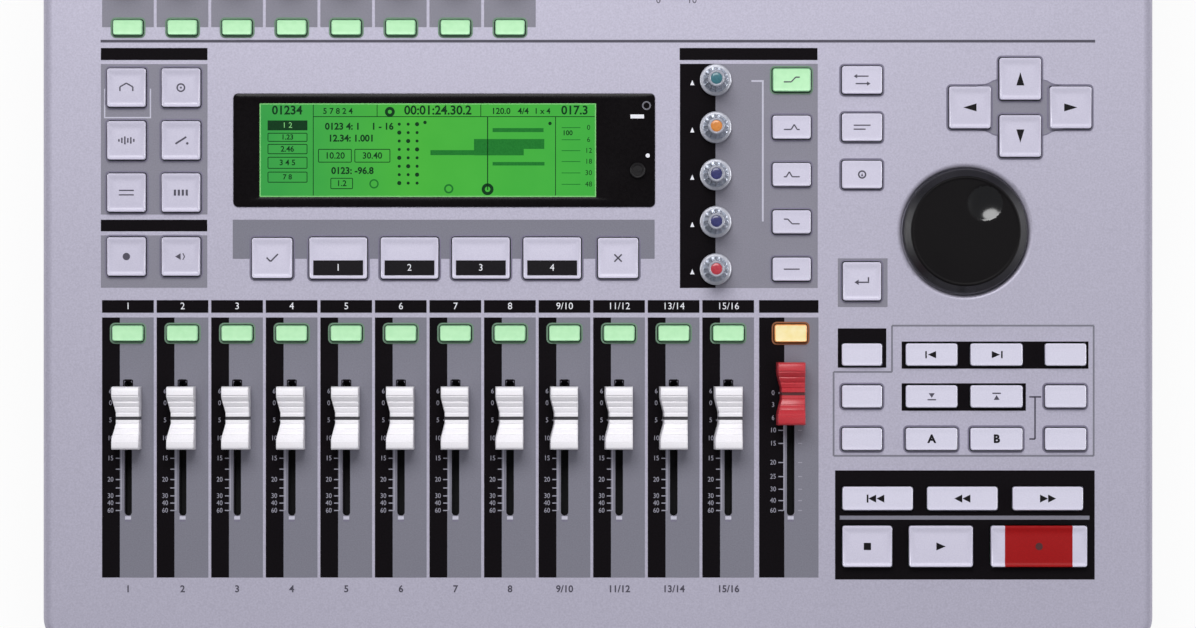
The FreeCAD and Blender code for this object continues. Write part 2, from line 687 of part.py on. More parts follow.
def fader(u, v):
    """A cap with a finger valley across its top, pressed on a flat metal lever."""
    half = CAP_LENGTH / 2
    peak = half - CAP_SHOULDER
    low, top, valley = CAP_BASE, CAP_HEIGHT, CAP_HEIGHT - CAP_VALLEY
    profile = Part.Wire([
        Part.makeLine((0, v - peak, top), (0, v - half, low + CAP_FOOT)),
        Part.makeLine((0, v - half, low + CAP_FOOT), (0, v - half, low)),
        Part.makeLine((0, v - half, low), (0, v + half, low)),
        Part.makeLine((0, v + half, low), (0, v + half, low + CAP_FOOT)),
        Part.makeLine((0, v + half, low + CAP_FOOT), (0, v + peak, top)),
        Part.Arc(
            FreeCAD.Vector(0, v + peak, top), FreeCAD.Vector(0, v, valley), FreeCAD.Vector(0, v - peak, top)
        ).toShape(),
    ])
    cap = Part.Face(profile).extrude(FreeCAD.Vector(CAP_WIDTH, 0, 0))
    cap.translate(FreeCAD.Vector(u - CAP_WIDTH / 2, 0, 0))
    lever = rounded_lever(u, v, -LEVER_DEPTH, LEVER_BITE)
    return [on_panel(cap.cut(lever)), on_panel(lever)]


def rounded_lever(u, v, low, high):
    return box(
        u - LEVER_WIDTH / 2, u + LEVER_WIDTH / 2, v - LEVER_LENGTH / 2, v + LEVER_LENGTH / 2, low, high
    )


def fader_tracks():
    """The slide potentiometers' bodies, each with the groove that its lever runs in."""
    front, rear = slot_ends()
    tracks = []
    for u, _ in fader_places():
        body = box(
            u - TRACK_WIDTH / 2, u + TRACK_WIDTH / 2, front - TRACK_END, rear + TRACK_END,
            -BOARD_DEPTH, -TRACK_TOP,
        )
        groove = box(
            u - GROOVE_WIDTH / 2, u + GROOVE_WIDTH / 2, front, rear,
            -LEVER_DEPTH - MOVING_GAP, 0,
        )
        tracks.append(on_panel(body.cut(groove)))
    return tracks


def potentiometer(u, v, size, top, bushing, bushing_top, shaft, depth):
    """A square body on the board with a bushing and the bore that the shaft turns in."""
    body = box(u - size / 2, u + size / 2, v - size / 2, v + size / 2, -BOARD_DEPTH, -top)
    collar = rod(u, v, -top - 1, bushing, top + 1 - bushing_top)
    bore_low = -depth - MOVING_GAP
    bore = rod(u, v, bore_low, shaft + RUNNING_GAP, BOARD_DEPTH)
    return on_panel(joined([body, collar]).cut(bore))


def rotary_controls():
    controls = [
        potentiometer(u, v, POT_SIZE, POT_TOP, BUSHING_RADIUS, BUSHING_TOP, SHAFT_RADIUS, SHAFT_DEPTH)
        for u, v, _, _ in knob_places().values()
    ]
    controls.append(potentiometer(
        CONTRAST_U, CONTRAST_V, CONTRAST_POT, POT_TOP, CONTRAST_SHAFT + 0.5, POT_TOP - 0.2,
        CONTRAST_SHAFT, SHAFT_DEPTH,
    ))
    dish_bottom = JOG_DISH_DEPTH + JOG_DISH_FLOOR
    controls.append(potentiometer(
        JOG_U, JOG_V, JOG_ENCODER_SIZE, dish_bottom, JOG_BUSHING, JOG_DISH_DEPTH - JOG_LIFT + MOVING_GAP,
        SHAFT_RADIUS, SHAFT_DEPTH,
    ))
    return controls


def knob(u, v, radius, height):
    """A knob with a skirt and a grip that narrows a little, on its own shaft."""
    skirt = rod(u, v, KNOB_LIFT, radius, KNOB_SKIRT_HEIGHT)
    grip_low = KNOB_LIFT + KNOB_SKIRT_HEIGHT
    grip = Part.makeCone(
        radius - KNOB_SKIRT, radius - 2 * KNOB_SKIRT, height - grip_low,
        FreeCAD.Vector(u, v, grip_low), FreeCAD.Vector(0, 0, 1),
    )
    shaft = rod(u, v, -SHAFT_DEPTH, SHAFT_RADIUS, SHAFT_DEPTH + KNOB_LIFT + 1)
    return on_panel(joined([skirt, grip, shaft]))


def contrast_knob():
    base = WINDOW_RISE + MOVING_GAP
    disc = rod(CONTRAST_U, CONTRAST_V, base, CONTRAST_RADIUS, CONTRAST_HEIGHT)
    shaft = rod(CONTRAST_U, CONTRAST_V, -SHAFT_DEPTH, CONTRAST_SHAFT, SHAFT_DEPTH + base + 0.5)
    slot = box(
        CONTRAST_U - CONTRAST_RADIUS, CONTRAST_U + CONTRAST_RADIUS,
        CONTRAST_V - CONTRAST_SLOT / 2, CONTRAST_V + CONTRAST_SLOT / 2,
        base + CONTRAST_HEIGHT - CONTRAST_SLOT_DEPTH, base + CONTRAST_HEIGHT + 1,
    )
    return on_panel(joined([disc, shaft]).cut(slot))


def jog_wheel():
    low = -JOG_DISH_DEPTH + JOG_LIFT
    rim = rod(JOG_U, JOG_V, low, JOG_RADIUS, JOG_SHOULDER - low)
    slope = Part.makeCone(
        JOG_RADIUS, JOG_TOP_RADIUS, JOG_HEIGHT - JOG_SHOULDER,
        FreeCAD.Vector(JOG_U, JOG_V, JOG_SHOULDER), FreeCAD.Vector(0, 0, 1),
    )
    shaft = rod(JOG_U, JOG_V, -SHAFT_DEPTH, SHAFT_RADIUS, SHAFT_DEPTH + 1)
    du, dv = DIMPLE_OFFSET
    ball = (DIMPLE_RADIUS ** 2 + DIMPLE_DEPTH ** 2) / (2 * DIMPLE_DEPTH)
    dimple = Part.makeSphere(ball, FreeCAD.Vector(JOG_U + du, JOG_V + dv, JOG_HEIGHT - DIMPLE_DEPTH + ball))
    return on_panel(joined([rim, slope, shaft]).cut(dimple))


def display_window():
    plate = rounded_block(
        WINDOW_U, WINDOW_V, WINDOW_WIDTH, WINDOW_HEIGHT, -WINDOW_SINK, WINDOW_RISE, WINDOW_CORNER
    )
    return on_panel(plate.cut(rod(CONTRAST_U, CONTRAST_V, -WALL, CONTRAST_HOLE, 2 * WALL)))


def lcd_module():
    frame = rounded_block(LCD_U, LCD_V, LCD_FRAME_WIDTH, LCD_FRAME_HEIGHT, -BOARD_DEPTH, -WALL, 1.0)
    glass_top = -WINDOW_SINK - LCD_AIR
    glass = rounded_block(LCD_U, LCD_V, LCD_GLASS_WIDTH, LCD_GLASS_HEIGHT, -WALL - 0.5, glass_top, 0.8)
    return on_panel(joined([frame, glass]))


def control_board():
    """The board under the panel, with a push switch below the middle of every key."""
    low = -BOARD_DEPTH - BOARD_THICKNESS
    board = box(-BOARD_HALF, BOARD_HALF, BOARD_FRONT, BOARD_REAR, low, -BOARD_DEPTH)
    pieces = [on_panel(board)]
    half = SWITCH_SIZE / 2
    body_top = -BOARD_DEPTH + SWITCH_HEIGHT
    plunger_top = -KEY_BOTTOM - KEY_TRAVEL - PLUNGER_GAP
    for caps in key_banks().values():
        for u, v, _, _, _ in caps:
            body = box(u - half, u + half, v - half, v + half, -BOARD_DEPTH, body_top)
            plunger = rod(u, v, body_top - 0.5, PLUNGER_RADIUS, plunger_top - body_top + 0.5)
            pieces.append(on_panel(joined([body, plunger])))
    return pieces


def module_z():
    return FLOOR_TOP + STANDOFF_HEIGHT


def filled_board(x, y, width, length, parts):
    """A board on the standoffs and the blocks on it, and the height of its top."""
    z = module_z()
    top = z + BOARD_THICKNESS
    pieces = [box(x - width / 2, x + width / 2, y - length / 2, y + length / 2, z, top)]
    for dx, dy, across, along, height in parts:
        left, front = x + dx - across / 2, y + dy - along / 2
        pieces.append(box(left, left + across, front, front + along, top, top + height))
    return pieces, top


def main_board():
    """The processor board with its larger chips and connectors."""
    pieces, _ = filled_board(*main_board_box(), MAIN_BOARD_PARTS)
    return pieces


def power_supply():
    """The mains board with its transformer, capacitors and heat sink."""
    pieces, top = filled_board(*supply_box(), SUPPLY_PARTS)
    x, y, _, _ = supply_box()
    pieces += [rod(x + dx, y + dy, top, *CAPACITOR) for dx, dy in CAPACITOR_PLACES]
    return pieces


def hard_drive():
    x, y, width, length = hard_drive_box()
    z = module_z()
    top = z + HARD_DRIVE[2]
    body = rounded_block(x, y, width, length, z + BOARD_THICKNESS, top, DRIVE_CORNER)
    cover = rounded_block(
        x, y, width - 2 * COVER_INSET, length - 2 * COVER_INSET, top, top + COVER_RISE, 2 * DRIVE_CORNER
    )
    half = width / 2 - DRIVE_BOARD_INSET
    front, rear = y - length / 2 + DRIVE_PLUG_ROOM, y + length / 2 - DRIVE_BOARD_INSET
    board = box(x - half, x + half, front, rear, z, z + BOARD_THICKNESS)
    return [joined([body, cover]), board]


def tray_z():
    """Underside of the tray's face, of its slab, and the top of its slab."""
    face = DRIVE_FLOOR + TRAY_FACE_LIFT
    slab = face + (TRAY_FACE[1] - TRAY_THICKNESS) / 2
    return face, slab, slab + TRAY_THICKNESS


def disc_tray():
    face_z, low, top = tray_z()
    half = TRAY_WIDTH / 2
    back = BEZEL_FRONT_Y + TRAY_FACE_THICKNESS
    wide, high = TRAY_FACE
    face = box(DRIVE_X - wide / 2, DRIVE_X + wide / 2, BEZEL_FRONT_Y, back, face_z, face_z + high)
    slab = box(DRIVE_X - half, DRIVE_X + half, back - 1, back + TRAY_LENGTH, low, top)
    middle = back + 4 + DISC_RADIUS
    cuts = [
        rod(DRIVE_X, middle, top - DISC_RECESS, DISC_RADIUS, TRAY_THICKNESS),
        rod(DRIVE_X, middle, top - DISC_RECESS - SMALL_DISC_RECESS, SMALL_DISC_RADIUS, TRAY_THICKNESS),
        rod(DRIVE_X, middle, low - 1, HUB_RADIUS, TRAY_THICKNESS + 2),
        box(DRIVE_X - HUB_RADIUS, DRIVE_X + HUB_RADIUS, middle, middle + DISC_RADIUS - 4, low - 1, top + 1),
    ]
    return joined([face, slab]).cut(cuts)


def eject_hole_box(grow, y0, y1):
    x = DRIVE_X + EJECT_OFFSET
    z = DRIVE_FLOOR + EJECT_LIFT
    across, high = EJECT_BUTTON[0] / 2 + grow, EJECT_BUTTON[1] / 2 + grow
    return box(x - across, x + across, y0, y1, z - high, z + high)


def eject_button():
    back = BEZEL_BACK_Y + MOVING_GAP
    plunger = eject_hole_box(0, BEZEL_FRONT_Y - EJECT_RISE, back)
    flange = eject_hole_box(FLANGE_REACH, back, back + FLANGE_THICKNESS)
    return joined([plunger, flange])


def disc_drive():
    """The drive's metal body with its tray bay, and its front bezel."""
    left, right = DRIVE_X - DRIVE_WIDTH / 2, DRIVE_X + DRIVE_WIDTH / 2
    top = DRIVE_FLOOR + DRIVE_HEIGHT
    back = FRONT_Y + DRIVE_DEPTH
    face_z, tray_low, tray_top = tray_z()
    body = box(left, right, BEZEL_BACK_Y, back, DRIVE_FLOOR, top)
    bay_half = TRAY_WIDTH / 2 + MOVING_GAP
    bay_back = BEZEL_FRONT_Y + TRAY_FACE_THICKNESS + TRAY_LENGTH + 2
    bay = box(
        DRIVE_X - bay_half, DRIVE_X + bay_half, BEZEL_BACK_Y - 1, bay_back,
        tray_low - MOVING_GAP, tray_top + TRAY_HEADROOM,
    )
    lower = box(
        left + DRIVE_SKIN, right - DRIVE_SKIN, BEZEL_BACK_Y + 6, back - DRIVE_SKIN,
        DRIVE_FLOOR + DRIVE_SKIN, tray_low - MOVING_GAP - DRIVE_SKIN,
    )
    pocket_end = BEZEL_BACK_Y + FLANGE_THICKNESS + EJECT_TRAVEL + 2 * MOVING_GAP
    pocket = eject_hole_box(FLANGE_REACH + MOVING_GAP, BEZEL_BACK_Y - 1, pocket_end)
    half = DRIVE_WIDTH / 2 + BEZEL_LAP
    bezel = box(
        DRIVE_X - half, DRIVE_X + half, BEZEL_FRONT_Y, BEZEL_BACK_Y, DRIVE_FLOOR - BEZEL_LAP, top + BEZEL_LAP
    )
    face_half = TRAY_FACE[0] / 2 + MOVING_GAP
    mouth = box(
        DRIVE_X - face_half, DRIVE_X + face_half, BEZEL_FRONT_Y - 1, BEZEL_BACK_Y + 1,
        face_z - MOVING_GAP, face_z + TRAY_FACE[1] + MOVING_GAP,
    )
    hole = eject_hole_box(MOVING_GAP, BEZEL_FRONT_Y - 1, BEZEL_BACK_Y + 1)
    return [body.cut([bay, lower, pocket]), bezel.cut([mouth, hole])]


def hexagon(x, y, z, flats, thickness):
    """A hexagonal prism whose axis runs along Y."""
    radius = flats / math.sqrt(3)
    points = []
    for i in range(7):
        angle = math.radians(60 * i)
        points.append(FreeCAD.Vector(x + radius * math.cos(angle), y, z + radius * math.sin(angle)))
    return Part.Face(Part.makePolygon(points)).extrude(FreeCAD.Vector(0, thickness, 0))


def phone_jack(x, z, plate_back, plate_face, out):
    """A phone jack whose nozzle passes through a wall that faces out (+1 rear, -1 front)."""
    width, height, depth = JACK_BODY
    near, far = sorted((plate_back, plate_back - out * depth))
    body = box(x - width / 2, x + width / 2, near, far, z - height / 2, z + height / 2)
    tip = plate_face + out * NOZZLE_RISE
    nozzle = rod(x, plate_back - out * 1, z, NOZZLE_RADIUS, abs(tip - plate_back) + 1, (0, out, 0))
    bore = rod(x, tip + out * 1, z, JACK_RADIUS, JACK_DEPTH + 1, (0, -out, 0))
    return joined([body, nozzle]).cut(bore)


def jack_nut(x, z, plate_face):
    nut = hexagon(x, plate_face, z, NUT_FLATS, NUT_THICKNESS)
    return nut.cut(rod(x, plate_face - 1, z, NOZZLE_RADIUS + RUNNING_GAP, NUT_THICKNESS + 2, (0, 1, 0)))


def jack_x(index):
    return JACK_1_X + JACK_PITCH * index


def socket_body(x, z, size):
    """The block of a socket, against the inside of the rear plate."""
    width, height, depth = size
    low, high = z - height / 2, z + height / 2
    return box(x - width / 2, x + width / 2, PLATE_BACK_Y - depth, PLATE_BACK_Y, low, high)


def midi_socket(z):
    body = socket_body(MIDI_X, z, MIDI_BODY)
    shell = rod(MIDI_X, PLATE_BACK_Y - 1, z, MIDI_SHELL, REAR_PLATE + MIDI_RISE + 1, (0, 1, 0))
    mouth = PLATE_FACE_Y + MIDI_RISE
    return joined([body, shell]).cut(rod(MIDI_X, mouth + 1, z, MIDI_RADIUS, MIDI_DEPTH + 1, (0, -1, 0)))


def coax_socket(z):
    body = socket_body(COAX_X, z, COAX_BODY)
    collar = rod(COAX_X, PLATE_BACK_Y - 1, z, COAX_COLLAR, REAR_PLATE + 1, (0, 1, 0))
    sleeve = rod(COAX_X, PLATE_FACE_Y - 1, z, COAX_RADIUS, COAX_RISE + 1, (0, 1, 0))
    return joined([body, collar, sleeve]).cut(
        rod(COAX_X, PLATE_FACE_Y + COAX_RISE + 1, z, COAX_BORE, COAX_RISE + 1, (0, -1, 0))
    )


def inlet_shape(grow, y0, y1):
    """The flat-sided oval of the two-pin power inlet."""
    across, high = INLET_MOUTH[0] + 2 * grow, INLET_MOUTH[1] + 2 * grow
    block = box(
        INLET_X - across / 2, INLET_X + across / 2, y0, y1, INLET_HEIGHT - high / 2, INLET_HEIGHT + high / 2
    )
    along_y = [e for e in block.Edges if abs(e.tangentAt(e.FirstParameter).y) > 0.9]
    return block.makeFillet(high / 2 - 0.1, along_y)


def power_inlet():
    body = socket_body(INLET_X, INLET_HEIGHT, INLET_BODY)
    collar = inlet_shape(INLET_COLLAR, PLATE_BACK_Y - 1, PLATE_FACE_Y + 1)
    floor = PLATE_FACE_Y + 1 - INLET_DEPTH
    housing = joined([body, collar]).cut(inlet_shape(0, floor, PLATE_FACE_Y + 2))
    reach = INLET_DEPTH - 2
    pins = []
    for side in (-1, 1):
        x = INLET_X + side * INLET_PIN_SPACING / 2
        pins.append(rod(x, floor, INLET_HEIGHT, INLET_PIN_RADIUS, reach, (0, 1, 0)))
    return [housing, *pins]


def rocker_frame_box(grow, y0, y1):
    across, high = ROCKER[0] / 2 + grow, ROCKER[1] / 2 + grow
    return box(SWITCH_X - across, SWITCH_X + across, y0, y1, SWITCH_Z - high, SWITCH_Z + high)


def rocker_room():
    """How far the rocker's frame stays outside the rocker's own size as it tips."""
    return MOVING_GAP + ROCKER[1] / 2 * (1 - math.cos(math.radians(ROCKER_ANGLE)))


def switch_frame():
    """The power switch's housing, open at the rear for the rocker, with two pivot pins."""
    face = PLATE_FACE_Y + SWITCH_FRAME_RISE
    grow = rocker_room()
    body = rocker_frame_box(grow + SWITCH_SKIN, PLATE_BACK_Y - SWITCH_BODY_DEPTH, PLATE_BACK_Y)
    flange = rocker_frame_box(grow + SWITCH_FRAME, PLATE_FACE_Y, face)
    neck = rocker_frame_box(grow + SWITCH_SKIN, PLATE_BACK_Y - 1, face)
    room = rocker_frame_box(grow, PLATE_BACK_Y - SWITCH_BODY_DEPTH + SWITCH_FLOOR, face + 1)
    pivot_y = face - ROCKER_PIVOT_DEPTH
    reach = ROCKER[0] / 2 + grow + SWITCH_SKIN / 2
    pin = rod(SWITCH_X - reach, pivot_y, SWITCH_Z, PIVOT_RADIUS, 2 * reach, (1, 0, 0))
    return joined([body, flange, neck]).cut(room).fuse(pin).removeSplitter()


def power_switch():
    """The rocker: a shallow vee seen from the side, bored for the pivot pin."""
    face = PLATE_FACE_Y + SWITCH_FRAME_RISE
    pivot_y = face - ROCKER_PIVOT_DEPTH
    half = ROCKER[1] / 2
    tip = half * math.tan(math.radians(ROCKER_ANGLE))
    crest = face + ROCKER_RAISED
    low, high = SWITCH_Z - half, SWITCH_Z + half - ROCKER_EDGE
    points = [
        (pivot_y - ROCKER_HUB, SWITCH_Z - ROCKER_HUB), (face - ROCKER_PRESSED - tip, low),
        (crest, low + ROCKER_EDGE), (face - ROCKER_DIP, SWITCH_Z), (crest - tip, high),
        (face - ROCKER_HEEL - 2 * tip, high), (pivot_y - ROCKER_HUB, SWITCH_Z + ROCKER_HUB),
    ]
    left = SWITCH_X - ROCKER[0] / 2
    corners = [FreeCAD.Vector(left, y, z) for y, z in points + points[:1]]
    solid = Part.Face(Part.makePolygon(corners)).extrude(FreeCAD.Vector(ROCKER[0], 0, 0))
    bore = rod(left - 1, pivot_y, SWITCH_Z, PIVOT_RADIUS + RUNNING_GAP, ROCKER[0] + 2, (1, 0, 0))
    return solid.cut(bore)


def sockets():
    pieces = [phone_jack(jack_x(i), JACK_HEIGHT, PLATE_BACK_Y, PLATE_FACE_Y, 1) for i in range(JACKS)]
    pieces += [jack_nut(jack_x(i), JACK_HEIGHT, PLATE_FACE_Y) for i in range(JACKS)]
    wall_back = FRONT_Y + WALL
    sunk = FRONT_Y + FRONT_SINK + NOZZLE_RISE
    pieces.append(phone_jack(PHONES_X, PHONES_HEIGHT, wall_back, sunk, -1))
    pieces += [midi_socket(z) for z in MIDI_HEIGHTS]
    pieces += [coax_socket(z) for z in COAX_HEIGHTS]
    pieces += power_inlet()
    pieces.append(switch_frame())
    return pieces


def rear_panel():
    lap = REAR_PLATE_LAP
    plate = box(
        -RECESS_HALF - lap, RECESS_HALF + lap, PLATE_BACK_Y, PLATE_FACE_Y, RECESS_LOW - lap, RECESS_HIGH + lap
    )
    cuts = []
    through = REAR_PLATE + 2
    low = PLATE_BACK_Y - 1
    for i in range(JACKS):
        cuts.append(rod(jack_x(i), low, JACK_HEIGHT, NOZZLE_RADIUS + NOZZLE_GAP, through, (0, 1, 0)))
    for z in MIDI_HEIGHTS:
        cuts.append(rod(MIDI_X, low, z, MIDI_SHELL + NOZZLE_GAP, through, (0, 1, 0)))
    for z in COAX_HEIGHTS:
        cuts.append(rod(COAX_X, low, z, COAX_COLLAR + NOZZLE_GAP, through, (0, 1, 0)))
    cuts.append(inlet_shape(INLET_COLLAR + NOZZLE_GAP, low, low + through))
    cuts.append(rocker_frame_box(rocker_room() + SWITCH_SKIN + NOZZLE_GAP, low, low + through))
    return plate.cut(cuts)


def all_nodes():
    """Every node's name and its shape or list of separate solids."""
    nodes = {
        "top_case": top_case(),
        "bottom_case": bottom_case(),
        "rear_panel": rear_panel(),
        "display_window": display_window(),
        "lcd_module": lcd_module(),
        "fader_tracks": fader_tracks(),
        "rotary_controls": rotary_controls(),
        "control_board": control_board(),
        "main_board": main_board(),
        "power_supply": power_supply(),
        "hard_drive": hard_drive(),
        "disc_drive": disc_drive(),
        "sockets": sockets(),
        "rubber_feet": rubber_feet(),
        "case_screws": case_screws(),
        "jog_wheel": jog_wheel(),
        "contrast_knob": contrast_knob(),
        "disc_tray": disc_tray(),
        "eject_button": eject_button(),
        "power_switch": power_switch(),
    }
    for index, (u, v) in enumerate(fader_places()):
        nodes[f"fader_{index + 1}" if index < CHANNELS else "fader_stereo"] = fader(u, v)
    for name, (u, v, radius, height) in knob_places().items():
        nodes[name] = knob(u, v, radius, height)
    for name, caps in key_banks().items():
        nodes[name] = [key_cap(*cap) for cap in caps]
    return nodes


def main():
    os.makedirs("parts", exist_ok=True)
    for name, shape in all_nodes().items():
        solids = shape if isinstance(shape, list) else [shape]
        whole = solids[0] if len(solids) == 1 else Part.makeCompound(solids)
        if not whole.isValid():
            print("not valid:", name)
        print(name, len(whole.Solids), round(whole.Volume / 1000, 2), "cm3")
        whole.exportStep(f"parts/{name}.step")


main()
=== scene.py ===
import math

import bmesh
import bpy
from mathutils import Matrix, Vector


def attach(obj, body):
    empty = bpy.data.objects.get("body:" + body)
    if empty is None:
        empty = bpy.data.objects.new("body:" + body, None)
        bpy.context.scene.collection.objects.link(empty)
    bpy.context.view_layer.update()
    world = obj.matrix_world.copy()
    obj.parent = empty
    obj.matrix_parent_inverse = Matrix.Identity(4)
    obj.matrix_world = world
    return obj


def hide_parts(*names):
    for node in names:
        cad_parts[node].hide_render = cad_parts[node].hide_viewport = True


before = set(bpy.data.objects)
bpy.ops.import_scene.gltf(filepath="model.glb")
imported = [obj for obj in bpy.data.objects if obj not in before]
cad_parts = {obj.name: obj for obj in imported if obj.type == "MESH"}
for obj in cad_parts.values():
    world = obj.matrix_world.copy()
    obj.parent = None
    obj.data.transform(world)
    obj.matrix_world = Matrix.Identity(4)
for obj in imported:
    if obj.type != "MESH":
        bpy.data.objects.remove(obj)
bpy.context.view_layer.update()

# Sizes are in millimetres unless their name says otherwise. The control panel has its own
# coordinates: u to the right from the middle of the case, v from the front edge towards
# the rear along the panel, and w out of the panel.
MM = 0.001

# Case and panel
CASE_DEPTH = 373.0
FRONT_HEIGHT = 62.0
PANEL_TILT = math.radians(5.0)

# Photograph's view: square onto the panel, from this far
VIEW_DISTANCE = 1710.0
VIEW_WIDTH = 483.3
VIEW_V = 133.8
SENSOR_WIDTH = 36.0

PANEL = (
    Matrix.Translation((0, -CASE_DEPTH / 2 * MM, FRONT_HEIGHT * MM))
    @ Matrix.Rotation(PANEL_TILT, 4, "X")
)


def panel_point(u, v, w=0.0):
    """A point given in panel millimetres, in the frame's metres."""
    return PANEL @ Vector((u * MM, v * MM, w * MM))


def linear(red, green, blue, alpha=1.0):
    """A colour given as 0 to 255 screen values, as the linear values that shaders take."""
    def channel(value):
        value /= 255
        return value / 12.92 if value <= 0.04045 else ((value + 0.055) / 1.055) ** 2.4
    return (channel(red), channel(green), channel(blue), alpha)


# Camera, lamps, floor and world


def add_camera():
    camera = bpy.data.cameras.new("camera")
    camera.sensor_width = SENSOR_WIDTH
    camera.lens = SENSOR_WIDTH * VIEW_DISTANCE / VIEW_WIDTH
    camera.clip_start = 0.05
    camera.clip_end = 20
    placed = bpy.data.objects.new("camera", camera)
    bpy.context.collection.objects.link(placed)
    placed.matrix_world = PANEL @ Matrix.Translation((0, VIEW_V * MM, VIEW_DISTANCE * MM))
    bpy.context.scene.camera = placed


def add_lamp(name, place, size, power, mirrored=True, lighting=True):
    """A round soft lamp, turned towards the middle of the panel."""
    lamp = bpy.data.lights.new(name, "AREA")
    lamp.shape = "ELLIPSE"
    lamp.size, lamp.size_y = (side * MM for side in size)
    lamp.energy = power
    placed = bpy.data.objects.new(name, lamp)
    bpy.context.collection.objects.link(placed)
    start = panel_point(*place)
    direction = panel_point(0, VIEW_V) - start
    placed.location = start
    placed.rotation_euler = direction.to_track_quat("-Z", "Y").to_euler()
    placed.visible_glossy = mirrored
    placed.visible_diffuse = lighting
    return placed


def shade_from(lamp, node):
    """Keeps a lamp's light off one node, as a flag beside a studio lamp does."""
    shaded = bpy.data.collections.new(lamp.name + "_shade")
    shaded.objects.link(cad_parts[node])
    shaded.collection_objects[0].light_linking.link_state = "EXCLUDE"
    lamp.light_linking.receiver_collection = shaded


def add_world():
    world = bpy.data.worlds.new("world")
    world.use_nodes = True
    set_inputs(world.node_tree.nodes["Background"], Color=linear(238, 240, 246), Strength=0.3)
    bpy.context.scene.world = world


def set_inputs(node, **values):
    """Sets a shader node's inputs; a space in an input's name is written as an underscore."""
    for name, value in values.items():
        node.inputs[name.replace("_", " ")].default_value = value


def add_node(material, kind, **values):
    node = material.node_tree.nodes.new("ShaderNode" + kind)
    set_inputs(node, **values)
    return node


def join(material, *pairs):
    """Links each pair of an output and an input."""
    for output, target in pairs:
        material.node_tree.links.new(output, target)


FLOOR_SIZE = 8.0
FLOOR_GAP = 0.0002
FLOOR_GLOW = 0.93


def add_floor():
    """A white table that the camera and reflections see as bright as paper, shadows kept."""
    bpy.ops.mesh.primitive_plane_add(size=FLOOR_SIZE)
    floor = bpy.context.object
    floor.name = "floor"
    floor.location.z = -FLOOR_GAP
    material = new_material("floor_white", (236, 236, 238), 0.9)
    shader = material.node_tree.nodes["Principled BSDF"]
    glow = add_node(material, "Emission", Strength=1.0)
    rays = add_node(material, "LightPath")
    seen, through, share = (add_node(material, "Math") for _ in range(3))
    seen.operation = through.operation = "MAXIMUM"
    share.operation = "MULTIPLY"
    share.inputs[1].default_value = FLOOR_GLOW
    mix = add_node(material, "MixShader")
    join(
        material,
        (rays.outputs["Is Camera Ray"], seen.inputs[0]), (rays.outputs["Is Glossy Ray"], seen.inputs[1]),
        (seen.outputs[0], through.inputs[0]), (rays.outputs["Is Transmission Ray"], through.inputs[1]),
        (through.outputs[0], share.inputs[0]), (share.outputs[0], mix.inputs[0]),
        (shader.outputs[0], mix.inputs[1]), (glow.outputs[0], mix.inputs[2]),
        (mix.outputs[0], material.node_tree.nodes["Material Output"].inputs["Surface"]),
    )
    floor.data.materials.append(material)


# Materials


def new_material(name, colour, roughness, metallic=0.0, coat=0.0, specular=0.5):
    material = bpy.data.materials.new(name)
    material.use_nodes = True
    set_inputs(
        material.node_tree.nodes["Principled BSDF"], Base_Color=linear(*colour), Roughness=roughness,
        Metallic=metallic, Coat_Weight=coat, Coat_Roughness=0.12, Specular_IOR_Level=specular,
    )
    return material


def add_noise(material, size_mm, detail):
    """A noise that is fixed to the piece."""
    place = add_node(material, "TexCoord")
    noise = add_node(material, "TexNoise", Scale=1 / (size_mm * MM), Detail=detail)
    join(material, (place.outputs["Object"], noise.inputs["Vector"]))
    return noise.outputs["Fac"]


def add_ramp(material, *tones):
    """A colour ramp through (position, colour) pairs."""
    ramp = add_node(material, "ValToRGB")
    elements = ramp.color_ramp.elements
    for _ in tones[2:]:
        elements.new(0.5)
    for element, (position, colour) in zip(elements, tones):
        element.position = position
        element.color = linear(*colour)
    return ramp


def add_grain(material, colour, other, size_mm, bump_mm):
    """Mottles the colour between two tones, and roughens the surface at the same scale."""
    shader = material.node_tree.nodes["Principled BSDF"]
    noise = add_noise(material, size_mm, 3.0)
    ramp = add_ramp(material, (0.35, colour), (0.65, other))
    bump = add_node(material, "Bump", Distance=bump_mm * MM, Strength=1.0)
    join(
        material, (noise, ramp.inputs["Fac"]), (ramp.outputs["Color"], shader.inputs["Base Color"]),
        (noise, bump.inputs["Height"]), (bump.outputs["Normal"], shader.inputs["Normal"]),
    )


def add_wear(material, size_mm, low, high):
    """Lets the roughness wander over larger patches, as handling leaves it."""
    shader = material.node_tree.nodes["Principled BSDF"]
    span = add_node(material, "MapRange", From_Min=0.3, From_Max=0.7, To_Min=low, To_Max=high)
    join(
        material, (add_noise(material, size_mm, 4.0), span.inputs["Value"]),
        (span.outputs["Result"], shader.inputs["Roughness"]),
    )


WEAR_SIZE = 30.0


def plastic(name, colour, other, size_mm, bump_mm, roughness, wear=1.0, **more):
    material = new_material(name, colour, roughness, **more)
    add_grain(material, colour, other, size_mm, bump_mm)
    add_wear(material, WEAR_SIZE, roughness - 0.05 * wear, roughness + 0.07 * wear)
    return material


